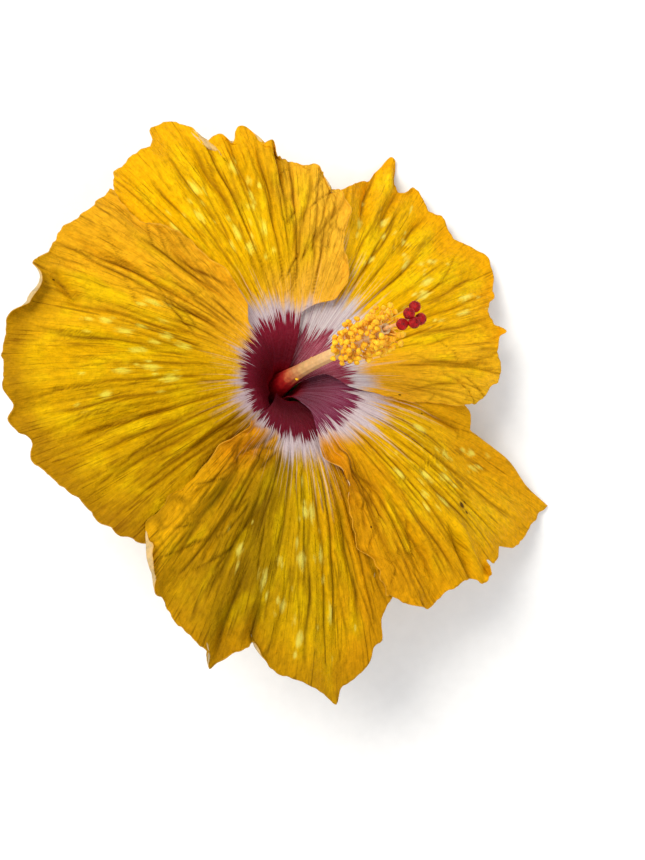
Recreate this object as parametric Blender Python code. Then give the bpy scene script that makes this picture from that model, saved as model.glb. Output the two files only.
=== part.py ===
"""A picked hibiscus bloom lying face up: five overlapping ruffled petals, the column with its
stamens, the pistil, the calyx, the ring of bracteoles and the cut flower stalk.

Every piece is built in the bloom's own frame, in millimetres, with z up the flower's axis from
the foot of the calyx. The empty called bloom then leans the whole flower over until the margin
of one petal and the cut end of the stalk lie on the surface at z = 0.
"""

import math
import random

import bmesh
import bpy
import numpy as np
from mathutils import Matrix, Vector

MM = 0.001

# How the bloom lies
TILT = math.radians(25.0)
TOWARD = math.radians(36.0)
STALK_LENGTH = 8.0
FLOOR_CLEAR = 0.6
FLOOR_EASE = 5.0

# The funnel that all petals follow: the slope of a petal at a distance along it
THROAT_RADIUS = 4.4
THROAT_HEIGHT = 3.0
SLOPE_AT = (0.0, 14.0, 21.0, 31.0, 47.0, 67.0, 91.0)
SLOPE = (89.0, 84.0, 56.0, 20.0, 3.0, -10.0, -22.0)
DROOP = 4.0
DROOP_FROM = 30.0
DROOP_OVER = 40.0
SUM_STEPS = 60

# Petals
PETAL_THICK = 0.75
PETAL_COLUMNS = 24
PETAL_ROWS = 19
LAYER_STEP = 0.8
LAYER_ANGLE = 36.0
LAYER_FROM = 2.0
LAYER_FULL = 11.0
RUFFLE_FROM = 30.0
RUFFLE_FULL = 88.0
BROAD_DEPTH = 2.0
FRILL_DEPTH = 1.7
LIFT = 2.0
LIFT_ZONE = 9.0
LIFT_WAVE = 15.0
TOOTH = 0.7
CALM_BELOW = -2.0
CALM_ABOVE = 8.0
CALM_SHARE = 0.3

# Where the margins of the two lowest petals dip to the surface: (azimuth, depth)
REST_SPOTS = ((-24.0, 9.0), (63.0, 4.9))
REST_WIDTH = 8.0

# Each petal: the azimuth of its middle, its free margin that lies over the next petal and its
# covered margin, both as (distance from the foot, azimuth), and its rim as (azimuth, distance)
PETALS = {
    "petal_top": {
        "middle": 104.0,
        "over": [(0, 73), (14, 74), (24, 82), (31, 85), (34, 77), (38, 62), (43, 60), (47, 66), (52, 70),
                 (61, 71), (66, 76)],
        "under": [(0, 138), (12, 140), (20, 148), (33, 151), (42, 145), (60, 144), (74, 146)],
        "rim": [(76, 66), (79, 67), (83, 73), (87, 74), (93, 77), (97, 78), (100, 84), (102, 83), (104, 81),
                (106, 84), (109, 83), (112, 93), (118, 95), (121, 90), (124, 86), (130, 87), (136, 82),
                (146, 74)],
    },
    "petal_upper_right": {
        "middle": 38.0,
        "over": [(0, 5), (12, 6), (19, 10), (23, 8), (27, -5), (30, -13), (36, -15), (44, -15), (51, -12),
                 (61, -10)],
        "under": [(0, 68), (12, 72), (20, 86), (30, 96), (42, 92), (55, 88), (68, 88)],
        "rim": [(-10, 61), (-6, 64), (-2, 69), (4, 75), (9, 73), (15, 77), (19, 73), (24, 80), (32, 87),
                (37, 85), (41, 83), (50, 83), (56, 87), (60, 82), (63, 94), (65, 91), (68, 80), (75, 69),
                (88, 68)],
    },
    "petal_lower_right": {
        "middle": -32.0,
        "over": [(0, -65), (14, -65), (24, -67), (31, -75), (39, -79), (44, -76), (52, -75), (61, -76),
                 (67, -71), (76, -71)],
        "under": [(0, 0), (8, 3), (12, 9), (19, 18), (26, 14), (34, 0), (42, -3), (52, -5), (60, -8),
                  (64, -10), (66, -15), (83, -17), (95, -19), (105, -20)],
        "rim": [(-71, 76), (-66, 81), (-62, 83), (-58, 85), (-55, 83), (-51, 84), (-45, 89), (-42, 87),
                (-38, 90), (-34, 94), (-25, 101), (-20, 105)],
    },
    "petal_bottom": {
        "middle": -100.0,
        "over": [(0, -131), (14, -131), (25, -129), (34, -133), (44, -138), (54, -136), (65, -136),
                 (72, -135), (76, -131)],
        "under": [(0, -69), (8, -66), (12, -60), (20, -55), (30, -60), (39, -65), (50, -65), (62, -65),
                  (70, -68), (75, -68)],
        "rim": [(-131, 76), (-127, 81), (-119, 86), (-115, 89), (-107, 95), (-102, 89), (-99, 88), (-96, 92),
                (-89, 96), (-83, 101), (-79, 96), (-75, 89), (-72, 83), (-68, 75)],
    },
    "petal_left": {
        "middle": 178.0,
        "over": [(0, 143), (12, 142), (22, 138), (33, 139), (38, 131), (43, 129), (50, 131), (58, 133),
                 (71, 139), (81, 137)],
        "under": [(0, 212), (12, 213), (18, 217), (26, 238), (43, 235), (54, 235), (70, 237)],
        "rim": [(137, 81), (143, 81), (152, 85), (160, 86), (164, 85), (169, 88), (176, 90), (185, 91),
                (189, 89), (193, 89), (197, 87), (200, 87), (211, 83), (223, 79), (229, 76), (237, 70)],
    },
}

# Column, stamens and pistil: they leave the throat upright and then lean to one side
COLUMN_LEAN = (0.25, 0.035)
COLUMN_BEND_AT = 18.0
COLUMN_BEND_OVER = 10.0
COLUMN_FOOT = 1.9
COLUMN_SIDES = 12
COLUMN_OUTSIDE = [(1.9, 3.6), (5.0, 3.5), (8.0, 3.2), (12.0, 2.9), (16.0, 2.6), (20.0, 2.2), (24.0, 1.97),
                  (32.0, 1.87), (42.0, 1.62), (52.0, 1.4), (62.5, 1.25)]
COLUMN_BORE = [(62.5, 0.72), (50.0, 0.75), (32.0, 0.85), (20.0, 1.0), (16.0, 1.3), (12.0, 1.9), (8.0, 2.55),
               (5.0, 2.9), (1.9, 3.0)]
STAMENS = 64
STAMEN_FROM = 42.0
STAMEN_TO = 61.0
STAMEN_REACH = 3.3
STAMEN_SIDES = 5
STAMEN_ROOT = 1.0
STAMEN_SEED = 7
STAMEN_TURN = 137.5
FILAMENT_RADIUS = 0.27
ANTHER_RADIUS = 0.68
ANTHER_LENGTH = 1.25
PISTIL_SIDES = 10
PISTIL_PROFILE = [(1.9, 1.9), (3.4, 2.6), (5.5, 2.4), (8.5, 1.6), (12.0, 0.9), (16.0, 0.55), (24.0, 0.45),
                  (40.0, 0.42), (56.0, 0.4), (70.0, 0.4)]
STIGMA_RADIUS = 1.38
STIGMA_STEM = 0.34
STIGMA_SIDES = 5
STIGMA_ROOT = 0.8
STIGMA_BEND = 0.45
STIGMA_RISE = 0.5
# Where the five stigma pads lie, from the tip of the style
STIGMAS = [(1.2, 2.5, 3.4), (-0.95, 0.25, 4.7), (-2.15, -1.95, 3.2), (0.4, -1.7, 4.2), (2.7, -0.2, 2.9)]

# Green parts
CALYX_THICK = 0.8
CALYX_SIDES = 30
CALYX_ROWS = 7
CALYX_FOOT = (4.95, 0.4)
CALYX_CUP = 11.0
CALYX_LOBE = 14.0
CALYX_GAP = 1.35
CALYX_GAP_GROWS = 0.055
CALYX_TURN = 3.0
RECEPTACLE = [(-1.9, 1.7), (-1.1, 2.6), (-0.5, 3.9), (0.3, 4.2), (1.6, 4.15)]
STALK_RADIUS = 1.7
STALK_SIDES = 12
BRACT_RING = [(2.05, -3.4), (2.9, -3.5), (2.95, -2.5), (2.05, -2.4)]
BRACT_RING_SIDES = 21
BRACTEOLES = 7
BRACTEOLE_SIDES = 6
BRACTEOLE_PATH = [(2.5, -3.0), (5.0, -2.9), (8.0, -0.9), (10.0, 2.6), (11.6, 7.0), (13.4, 11.5)]
BRACTEOLE_WIDTH = [1.0, 1.3, 1.35, 1.15, 0.8, 0.3]
BRACTEOLE_THICK = [0.45, 0.45, 0.42, 0.4, 0.36, 0.3]

PETAL_ORANGE = (0.76, 0.36, 0.012, 1.0)
PETAL_YELLOW = (0.81, 0.46, 0.009, 1.0)
PETAL_AMBER = (0.62, 0.31, 0.007, 1.0)
ANTHER_GOLD = (0.80, 0.42, 0.10, 1.0)
STIGMA_RED = (0.30, 0.004, 0.006, 1.0)
SEPAL_GREEN = (0.10, 0.20, 0.045, 1.0)
BRACT_GREEN = (0.08, 0.17, 0.035, 1.0)
STALK_GREEN = (0.12, 0.23, 0.06, 1.0)


def smooth(value, low, high):
    """0 below low, 1 above high and an even ease between."""
    t = np.clip((value - low) / (high - low), 0.0, 1.0)
    return t * t * (3.0 - 2.0 * t)


def curve_through(value, points):
    """A smooth curve through the points that never swings past them, level beyond its ends."""
    xs = np.array([p[0] for p in points], float)
    ys = np.array([p[1] for p in points], float)
    rise = np.diff(ys) / np.diff(xs)
    same_way = rise[:-1] * rise[1:] > 0.0
    total = np.where(same_way, rise[:-1] + rise[1:], 1.0)
    inner = np.where(same_way, 2.0 * rise[:-1] * rise[1:] / total, 0.0)
    slopes = np.concatenate([rise[:1], inner, rise[-1:]])
    at = np.clip(np.searchsorted(xs, value) - 1, 0, len(xs) - 2)
    width = xs[at + 1] - xs[at]
    t = np.clip((value - xs[at]) / width, 0.0, 1.0)
    start = (2 * t**3 - 3 * t**2 + 1) * ys[at] + (t**3 - 2 * t**2 + t) * width * slopes[at]
    end = (3 * t**2 - 2 * t**3) * ys[at + 1] + (t**3 - t**2) * width * slopes[at + 1]
    return start + end


def leaning():
    """The turn that leans the bloom's axis over."""
    axis = Vector((-math.sin(TOWARD), math.cos(TOWARD), 0.0))
    return Matrix.Rotation(TILT, 4, axis)


def world_up():
    """The upright direction of the surface, seen in the bloom's own frame."""
    return np.array(leaning().inverted().to_3x3() @ Vector((0.0, 0.0, 1.0)))


def funnel(azimuth, along):
    """Radius, height and slope of the petals' shared surface, azimuth in radians."""
    side = np.clip(np.cos(azimuth - TOWARD), 0.0, 1.0) ** 1.5
    droop = math.radians(DROOP) * side
    middles = (np.arange(SUM_STEPS) + 0.5) / SUM_STEPS
    radius = np.full(along.shape, THROAT_RADIUS)
    height = np.full(along.shape, THROAT_HEIGHT)
    for part in middles:
        here = along * part
        slope = np.radians(np.interp(here, SLOPE_AT, SLOPE))
        slope = slope - droop * np.clip((here - DROOP_FROM) / DROOP_OVER, 0.0, 1.0)
        radius = radius + np.cos(slope) * along / SUM_STEPS
        height = height + np.sin(slope) * along / SUM_STEPS
    slope = np.radians(np.interp(along, SLOPE_AT, SLOPE))
    slope = slope - droop * np.clip((along - DROOP_FROM) / DROOP_OVER, 0.0, 1.0)
    return radius, height, slope


def above_floor(azimuth, along):
    """How high the shared surface would lie if it ran on straight, with no floor to ease it up."""
    radius, height, _ = funnel(azimuth, along)
    base = np.stack([radius * np.cos(azimuth), radius * np.sin(azimuth), height], -1)
    return base @ world_up() + STALK_LENGTH * math.cos(TILT) - FLOOR_CLEAR


def on_funnel(azimuth, along, off):
    """Points on the shared surface, moved off it and eased up where they would pass the floor."""
    radius, height, slope = funnel(azimuth, along)
    radius = radius - off * np.sin(slope)
    height = height + off * np.cos(slope)
    points = np.stack([radius * np.cos(azimuth), radius * np.sin(azimuth), height], -1)
    level = above_floor(azimuth, along)
    raised = 0.5 * (level + np.sqrt(level**2 + FLOOR_EASE**2))
    return points + (raised - level)[..., None] * world_up()


def ruffle(azimuth, along):
    """Waves that overlapping petals share, so that they nest, calmer where a petal lies down."""
    reach = smooth(along, RUFFLE_FROM, RUFFLE_FULL)
    broad = 0.6 * np.sin(5 * azimuth + 0.8) + 0.55 * np.sin(9 * azimuth + 2.1 + 0.03 * along)
    frill = 0.65 * np.sin(17 * azimuth + 1.3 + 0.02 * along)
    frill = frill + 0.45 * np.sin(29 * azimuth + 0.4 - 0.05 * along)
    calm = CALM_SHARE + (1.0 - CALM_SHARE) * smooth(above_floor(azimuth, along), CALM_BELOW, CALM_ABOVE)
    waves = calm * (reach * BROAD_DEPTH * broad + reach**2 * FRILL_DEPTH * frill)
    for spot, depth in REST_SPOTS:
        near = np.exp(-((np.degrees(azimuth) - spot) / REST_WIDTH) ** 2)
        waves = waves - depth * near * smooth(along, 45.0, 80.0)
    return waves


def material(name, colour, roughness):
    made = bpy.data.materials.new(name)
    made.use_nodes = True
    shader = made.node_tree.nodes["Principled BSDF"]
    shader.inputs["Base Color"].default_value = colour
    shader.inputs["Roughness"].default_value = roughness
    shader.inputs["Metallic"].default_value = 0.0
    made.diffuse_color = colour
    return made


def add(name, bm, look, parent=None):
    """Turns a bmesh in millimetres into a named object."""
    bmesh.ops.scale(bm, vec=(MM, MM, MM), verts=bm.verts)
    mesh = bpy.data.meshes.new(name)
    bm.to_mesh(mesh)
    bm.free()
    mesh.shade_smooth()
    mesh.materials.append(look)
    made = bpy.data.objects.new(name, mesh)
    bpy.context.scene.collection.objects.link(made)
    made.parent = parent
    return made


def thicken(target, thick):
    made = target.modifiers.new("Thickness", "SOLIDIFY")
    made.thickness = thick * MM
    made.offset = 0.0
    made.use_even_offset = False
    return made


def petal_points(shape, phase, azimuth_deg, along):
    """Points of a petal: its place in the layers, its ruffles and its lifted free margin."""
    azimuth = np.radians(azimuth_deg)
    layer = smooth(along, LAYER_FROM, LAYER_FULL)
    off = -LAYER_STEP * layer * (azimuth_deg - shape["middle"]) / LAYER_ANGLE
    off = off + ruffle(azimuth, along)
    over = curve_through(along, shape["over"])
    near = np.clip(1.0 - (azimuth_deg - over) / LIFT_ZONE, 0.0, 1.0) ** 2
    waves = 0.7 + 0.5 * np.sin(2 * math.pi * along / LIFT_WAVE + phase)
    off = off + LIFT * near * waves * smooth(along, 26.0, 40.0)
    return on_funnel(azimuth, along, off)


def petal(shape, phase):
    """The middle surface of one petal, split into triangles before it is thickened."""
    bm = bmesh.new()
    bmesh.ops.create_grid(bm, x_segments=PETAL_COLUMNS, y_segments=PETAL_ROWS, size=1.0)
    grid = np.array([v.co[:] for v in bm.verts])
    across = 0.5 * (grid[:, 0] + 1.0)
    along_share = 0.5 * (grid[:, 1] + 1.0)
    first = shape["rim"][0][0]
    last = shape["rim"][-1][0]
    rim_azimuth = first + (last - first) * across
    rim = curve_through(rim_azimuth, shape["rim"])
    edge = smooth(along_share, 0.75, 1.0)
    rim = rim + TOOTH * np.sin(0.55 * rim * np.radians(rim_azimuth) + phase) * edge
    along = along_share * rim
    over = curve_through(along_share * shape["rim"][0][1], shape["over"])
    under = curve_through(along_share * shape["rim"][-1][1], shape["under"])
    azimuth_deg = over + (under - over) * across
    points = petal_points(shape, phase, azimuth_deg, along)
    for vert, point in zip(bm.verts, points):
        vert.co = point
    bmesh.ops.triangulate(bm, faces=bm.faces, quad_method="SHORT_EDGE")
    bmesh.ops.recalc_face_normals(bm, faces=bm.faces)
    return bm


def column_centre(height):
    """The leaning centre line of the column and the pistil."""
    past = height - COLUMN_BEND_AT
    start = COLUMN_FOOT - COLUMN_BEND_AT
    sway = 0.5 * (past + math.sqrt(past**2 + COLUMN_BEND_OVER**2))
    sway = sway - 0.5 * (start + math.sqrt(start**2 + COLUMN_BEND_OVER**2))
    return Vector((COLUMN_LEAN[0] * sway, COLUMN_LEAN[1] * sway, height))


def column_frame(height):
    """The centre, the direction and two crosswise directions at a height."""
    step = 0.1
    centre = column_centre(height)
    along = (column_centre(height + step) - column_centre(height - step)).normalized()
    first = along.cross(Vector((0.0, 1.0, 0.0))).normalized()
    return centre, along, first, along.cross(first)


def ring(bm, centre, first, second, radius, sides, flat=1.0):
    """A loop of vertices round a centre."""
    made = []
    for k in range(sides):
        turn = 2 * math.pi * k / sides
        spot = centre + first * radius * math.cos(turn) + second * radius * flat * math.sin(turn)
        made.append(bm.verts.new(spot))
    return made


def skin(bm, rings, closed):
    """Faces between neighbouring loops, closed end to end or capped."""
    pairs = list(zip(rings, rings[1:]))
    if closed:
        pairs.append((rings[-1], rings[0]))
    for low, high in pairs:
        count = len(low)
        for k in range(count):
            bm.faces.new((low[k], low[(k + 1) % count], high[(k + 1) % count], high[k]))
    if not closed:
        bm.faces.new(rings[0][::-1])
        bm.faces.new(rings[-1])
    bmesh.ops.recalc_face_normals(bm, faces=bm.faces)


def column_tube():
    bm = bmesh.new()
    rings = []
    for height, radius in COLUMN_OUTSIDE + COLUMN_BORE:
        centre, _, first, second = column_frame(height)
        rings.append(ring(bm, centre, first, second, radius, COLUMN_SIDES))
    skin(bm, rings, True)
    return bm


def along_path(bm, points, radii, sides, flat=None):
    """A capped tube along a path, its width and its thickness given at each point."""
    flat = flat or [1.0] * len(points)
    rings = []
    for k, point in enumerate(points):
        before = points[max(k - 1, 0)]
        after = points[min(k + 1, len(points) - 1)]
        way = (after - before).normalized()
        first = way.cross(Vector((0.0, 0.0, 1.0)))
        if first.length < 0.05:
            first = way.cross(Vector((0.0, 1.0, 0.0)))
        first.normalize()
        rings.append(ring(bm, point, first, way.cross(first), radii[k], sides, flat[k]))
    skin(bm, rings, False)


def stamen(number, chance):
    """One filament with its anther, its root sunk into the column's wall."""
    share = (number + 0.5) / STAMENS
    height = STAMEN_FROM + (STAMEN_TO - STAMEN_FROM) * share + chance.uniform(-0.8, 0.8)
    turn = math.radians(STAMEN_TURN * number + chance.uniform(-14.0, 14.0))
    centre, along, first, second = column_frame(min(height, STAMEN_TO))
    out = first * math.cos(turn) + second * math.sin(turn)
    rise = 0.35 + 0.9 * share + chance.uniform(-0.2, 0.2)
    reach = STAMEN_REACH * (1.0 - 0.3 * share) * chance.uniform(0.75, 1.1)
    root = centre + out * STAMEN_ROOT
    bend = centre + out * (STAMEN_ROOT + 0.55 * reach) + along * 0.35 * reach * rise
    neck = centre + out * (STAMEN_ROOT + reach) + along * reach * rise
    way = (neck - bend).normalized()
    points = [root, bend, neck]
    radii = [FILAMENT_RADIUS, FILAMENT_RADIUS, FILAMENT_RADIUS]
    for share_along, share_wide in ((0.25, 0.9), (0.7, 1.0), (1.0, 0.35)):
        points.append(neck + way * ANTHER_LENGTH * share_along)
        radii.append(ANTHER_RADIUS * share_wide)
    bm = bmesh.new()
    along_path(bm, points, radii, STAMEN_SIDES)
    bmesh.ops.triangulate(bm, faces=bm.faces)
    return bm


def fuse(target, pieces, look):
    """Joins the pieces to the target by one Boolean union, then removes them."""
    group = bpy.data.collections.new(target.name + "_pieces")
    bpy.context.scene.collection.children.link(group)
    for number, piece in enumerate(pieces):
        made = add(f"{target.name}_piece_{number}", piece, look)
        bpy.context.scene.collection.objects.unlink(made)
        group.objects.link(made)
    union = target.modifiers.new("Fused", "BOOLEAN")
    union.operation = "UNION"
    union.operand_type = "COLLECTION"
    union.collection = group
    union.solver = "MANIFOLD"
    graph = bpy.context.evaluated_depsgraph_get()
    mesh = bpy.data.meshes.new_from_object(target.evaluated_get(graph))
    target.modifiers.clear()
    target.data = mesh
    for made in list(group.objects):
        bpy.data.objects.remove(made)
    bpy.data.collections.remove(group)


def pistil_core():
    """Ovary and style in one turned piece along the leaning centre line."""
    bm = bmesh.new()
    rings = []
    for height, radius in PISTIL_PROFILE:
        centre, _, first, second = column_frame(height)
        rings.append(ring(bm, centre, first, second, radius, PISTIL_SIDES))
    skin(bm, rings, False)
    return bm


def stigma_pieces():
    """Five branches of the style, each with its round pad."""
    pieces = []
    tip, along, _, _ = column_frame(PISTIL_PROFILE[-1][0])
    for spot in STIGMAS:
        pad = tip + Vector(spot)
        middle = tip + Vector(spot) * STIGMA_BEND + along * STIGMA_RISE
        branch = bmesh.new()
        along_path(branch, [tip - along * STIGMA_ROOT, middle, pad], [STIGMA_STEM] * 3, STIGMA_SIDES)
        pieces.append(branch)
        ball = bmesh.new()
        bmesh.ops.create_icosphere(ball, subdivisions=2, radius=STIGMA_RADIUS)
        bmesh.ops.translate(ball, vec=pad, verts=ball.verts)
        pieces.append(ball)
    return pieces


def calyx_sheet():
    """The middle surface of the cup with five pointed lobes."""
    bm = bmesh.new()
    bmesh.ops.create_grid(bm, x_segments=CALYX_SIDES, y_segments=CALYX_ROWS, size=1.0)
    grid = np.array([v.co[:] for v in bm.verts])
    turn = math.pi * (grid[:, 0] + 1.0)
    share = 0.5 * (grid[:, 1] + 1.0)
    lobe = np.abs(np.cos(2.5 * (turn - math.radians(CALYX_TURN)))) ** 1.2
    length = CALYX_CUP + CALYX_LOBE * lobe
    along = np.clip((share * CALYX_ROWS - 1.0) / (CALYX_ROWS - 1.0), 0.0, 1.0) * length
    off = -(CALYX_GAP + CALYX_GAP_GROWS * along)
    points = on_funnel(turn, along, off)
    foot = share < 0.5 / CALYX_ROWS
    radius, height = CALYX_FOOT
    level = np.full(turn.shape, height)
    points[foot] = np.stack([radius * np.cos(turn), radius * np.sin(turn), level], -1)[foot]
    for vert, point in zip(bm.verts, points):
        vert.co = point
    bmesh.ops.remove_doubles(bm, verts=bm.verts, dist=0.001)
    bmesh.ops.triangulate(bm, faces=bm.faces, quad_method="SHORT_EDGE")
    bmesh.ops.recalc_face_normals(bm, faces=bm.faces)
    return bm


def bract_ring():
    """The flat ring that the bracteoles grow from."""
    bm = bmesh.new()
    rings = []
    for k in range(BRACT_RING_SIDES):
        turn = 2 * math.pi * k / BRACT_RING_SIDES
        loop = [bm.verts.new((r * math.cos(turn), r * math.sin(turn), z)) for r, z in BRACT_RING]
        rings.append(loop)
    skin(bm, rings, True)
    return bm


def bracteole(number):
    """One narrow pointed leaf that curves up beside the calyx."""
    turn = 2 * math.pi * (number + 0.3) / BRACTEOLES
    out = Vector((math.cos(turn), math.sin(turn), 0.0))
    points = [out * r + Vector((0.0, 0.0, z)) for r, z in BRACTEOLE_PATH]
    flat = [t / w for t, w in zip(BRACTEOLE_THICK, BRACTEOLE_WIDTH)]
    bm = bmesh.new()
    along_path(bm, points, BRACTEOLE_WIDTH, BRACTEOLE_SIDES, flat)
    return bm


def stalk(lift):
    """The flower stalk, cut level with the surface, and the receptacle on top of it."""
    up = world_up()
    bm = bmesh.new()
    side = Vector((1.0, 0.0, 0.0))
    front = Vector((0.0, 1.0, 0.0))
    foot = ring(bm, Vector((0.0, 0.0, 0.0)), side, front, STALK_RADIUS, STALK_SIDES)
    for vert in foot:
        vert.co.z = -(lift + vert.co.x * up[0] + vert.co.y * up[1]) / up[2]
    rings = [foot]
    for height, radius in RECEPTACLE:
        rings.append(ring(bm, Vector((0.0, 0.0, height)), side, front, radius, STALK_SIDES))
    skin(bm, rings, False)
    return bm


def build():
    for old in list(bpy.data.objects):
        bpy.data.objects.remove(old)
    bloom = bpy.data.objects.new("bloom", None)
    bpy.context.scene.collection.objects.link(bloom)
    bloom.matrix_world = leaning()

    colours = {
        "petal_top": PETAL_ORANGE,
        "petal_upper_right": PETAL_YELLOW,
        "petal_lower_right": PETAL_ORANGE,
        "petal_bottom": PETAL_AMBER,
        "petal_left": PETAL_YELLOW,
    }
    petals = []
    for phase, (name, shape) in enumerate(PETALS.items()):
        made = add(name, petal(shape, 1.7 * phase), material(name, colours[name], 0.55), bloom)
        thicken(made, PETAL_THICK)
        petals.append(made)

    column = add("staminal_column", column_tube(), material("column", ANTHER_GOLD, 0.5))
    chance = random.Random(STAMEN_SEED)
    fuse(column, [stamen(k, chance) for k in range(STAMENS)], column.data.materials[0])
    column.parent = bloom

    pistil = add("pistil", pistil_core(), material("pistil", STIGMA_RED, 0.8))
    fuse(pistil, stigma_pieces(), pistil.data.materials[0])
    pistil.parent = bloom

    calyx = add("calyx", calyx_sheet(), material("calyx", SEPAL_GREEN, 0.6), bloom)
    thicken(calyx, CALYX_THICK)

    bracts = add("epicalyx", bract_ring(), material("epicalyx", BRACT_GREEN, 0.6))
    fuse(bracts, [bracteole(k) for k in range(BRACTEOLES)], bracts.data.materials[0])
    bracts.parent = bloom

    # The petals reach furthest out and down, so they set the origin: middle of the box, on the floor
    bpy.context.view_layer.update()
    graph = bpy.context.evaluated_depsgraph_get()
    corners = []
    for made in petals:
        evaluated = made.evaluated_get(graph)
        mesh = evaluated.to_mesh()
        spots = np.array([made.matrix_world @ v.co for v in mesh.vertices])
        corners += [spots.min(axis=0), spots.max(axis=0)]
        evaluated.to_mesh_clear()
    low = np.min(corners, axis=0)
    high = np.max(corners, axis=0)
    shift = Vector((-0.5 * (low[0] + high[0]), -0.5 * (low[1] + high[1]), -low[2]))
    bloom.matrix_world = Matrix.Translation(shift) @ leaning()
    print("bloom stands at", [round(v / MM, 3) for v in shift], "mm")
    add("pedicel", stalk(-low[2] / MM), material("pedicel", STALK_GREEN, 0.65), bloom)
    bpy.context.view_layer.update()


build()
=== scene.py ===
"""A picked hibiscus bloom lying face up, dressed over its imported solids."""
import math
import random

import bmesh
import bpy
import numpy as np
from mathutils import Matrix, Vector


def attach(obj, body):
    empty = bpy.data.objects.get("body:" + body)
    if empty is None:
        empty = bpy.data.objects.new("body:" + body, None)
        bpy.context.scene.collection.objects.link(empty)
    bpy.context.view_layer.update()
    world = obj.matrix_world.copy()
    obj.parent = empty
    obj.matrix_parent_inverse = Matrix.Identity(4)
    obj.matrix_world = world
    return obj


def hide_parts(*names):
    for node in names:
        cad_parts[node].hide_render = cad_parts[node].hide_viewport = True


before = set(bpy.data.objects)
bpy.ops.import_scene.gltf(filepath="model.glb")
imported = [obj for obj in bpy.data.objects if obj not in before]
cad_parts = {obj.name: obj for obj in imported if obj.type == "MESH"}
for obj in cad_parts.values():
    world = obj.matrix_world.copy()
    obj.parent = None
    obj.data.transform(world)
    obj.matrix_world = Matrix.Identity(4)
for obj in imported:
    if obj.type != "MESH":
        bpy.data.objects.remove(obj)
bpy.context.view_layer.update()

# Flower stalk: the green stalk of the picked bloom, cut level, with the swollen receptacle that
# carries every other piece. It is fibrous and matt, with shallow ribs and a paler cut end.

MM = 0.001
TILT = math.radians(25)
TOWARD = math.radians(36)
BLOOM_AT = Vector((-9.193, 0.213, 8.949))
LEAN = Matrix.Rotation(TILT, 4, Vector((-math.sin(TOWARD), math.cos(TOWARD), 0)))
BLOOM = Matrix.Translation(BLOOM_AT * MM) @ LEAN @ Matrix.Scale(MM, 4)
UP = np.array(LEAN.inverted().to_3x3() @ Vector((0, 0, 1)))

STALK_RADIUS = 1.7
STALK_SIDES = 48
STALK_RIBS = 6
RIB_DEPTH = 0.05
RECEPTACLE = [(-2.6, 1.62), (-1.9, 1.75), (-1.1, 2.6), (-0.5, 3.9), (0.3, 4.2), (1.6, 4.15)]


def linear(hex_colour):
    """An sRGB hex colour as linear light, with alpha 1."""
    parts = [int(hex_colour[k:k + 2], 16) / 255 for k in (1, 3, 5)]
    return tuple(p / 12.92 if p <= 0.04045 else ((p + 0.055) / 1.055) ** 2.4 for p in parts) + (1,)


def put(kind, inputs, out=0, tree=None, **settings):
    """Adds a shader node with its settings, constants and links, and gives back one output. The
    tree is that of its first linked input, unless it is given."""
    for value in inputs.values():
        if tree is None and isinstance(value, bpy.types.NodeSocket):
            tree = value.id_data
    made = tree.nodes.new("ShaderNode" + kind)
    for name, value in settings.items():
        setattr(made, name, value)
    for name, value in inputs.items():
        if isinstance(value, bpy.types.NodeSocket):
            tree.links.new(value, made.inputs[name])
        else:
            made.inputs[name].default_value = value
    return made.outputs[out] if made.outputs else None


def calc(operation, *values):
    """A math node."""
    return put("Math", dict(enumerate(values)), operation=operation)


def scaled(value, by, plus):
    """A value times one number plus another."""
    return calc("MULTIPLY_ADD", value, by, plus)


def product(value, *others):
    """A value multiplied by others, one after another."""
    for other in others:
        value = calc("MULTIPLY", value, other)
    return value


def ranged(value, low, high, start=0, end=1, easing="LINEAR"):
    """Start where the value is at low, end where it is at high, and the way between."""
    return put("MapRange", {0: value, 1: low, 2: high, 3: start, 4: end}, interpolation_type=easing)


def eased(*way):
    """The same with a soft start and end."""
    return ranged(*way, easing="SMOOTHSTEP")


def mixed(share, first, second, blend="MIX"):
    """Two colours mixed, each an sRGB hex or a node's output."""
    first, second = [linear(one) if isinstance(one, str) else one for one in (first, second)]
    return put("Mix", {0: share, 6: first, 7: second}, out=2, data_type="RGBA", blend_type=blend)


def coloured(value, stops):
    """A value turned into a colour by (place, sRGB hex) pairs."""
    made = put("ValToRGB", {"Fac": value})
    ramp = made.node.color_ramp
    while len(ramp.elements) < len(stops):
        ramp.elements.new(0.5)
    for element, (place, colour) in zip(ramp.elements, stops):
        element.position = place
        element.color = linear(colour)
    return made


def noise(place, scale, detail):
    """A noise texture."""
    return put("TexNoise", {"Vector": place, "Scale": scale, "Detail": detail})


def bumped(height, strength, distance):
    """A bump, its distance in metres."""
    return put("Bump", {"Height": height, "Strength": strength, "Distance": distance})


def surface(inputs):
    """A principled surface led to the material's output."""
    shader = put("BsdfPrincipled", inputs)
    put("OutputMaterial", {"Surface": shader})


def new_material(name):
    """An empty node material and its piece's own coordinates in metres."""
    made = bpy.data.materials.new(name)
    made.use_nodes = True
    made.node_tree.nodes.clear()
    return made, put("TexCoord", {}, out="Object", tree=made.node_tree)


def into_scene(name, data):
    """A new object, linked to the scene."""
    made = bpy.data.objects.new(name, data)
    bpy.context.scene.collection.objects.link(made)
    return made


def finish_piece(name, bm, look, nodes):
    """Takes a bmesh in the bloom's own millimetres to a named piece in the shared frame."""
    bmesh.ops.transform(bm, matrix=BLOOM, verts=bm.verts)
    mesh = bpy.data.meshes.new(name)
    bm.to_mesh(mesh)
    bm.free()
    mesh.shade_smooth()
    for one in look:
        mesh.materials.append(one)
    made = into_scene(name, mesh)
    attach(made, "root")
    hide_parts(*nodes)
    return made


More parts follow.
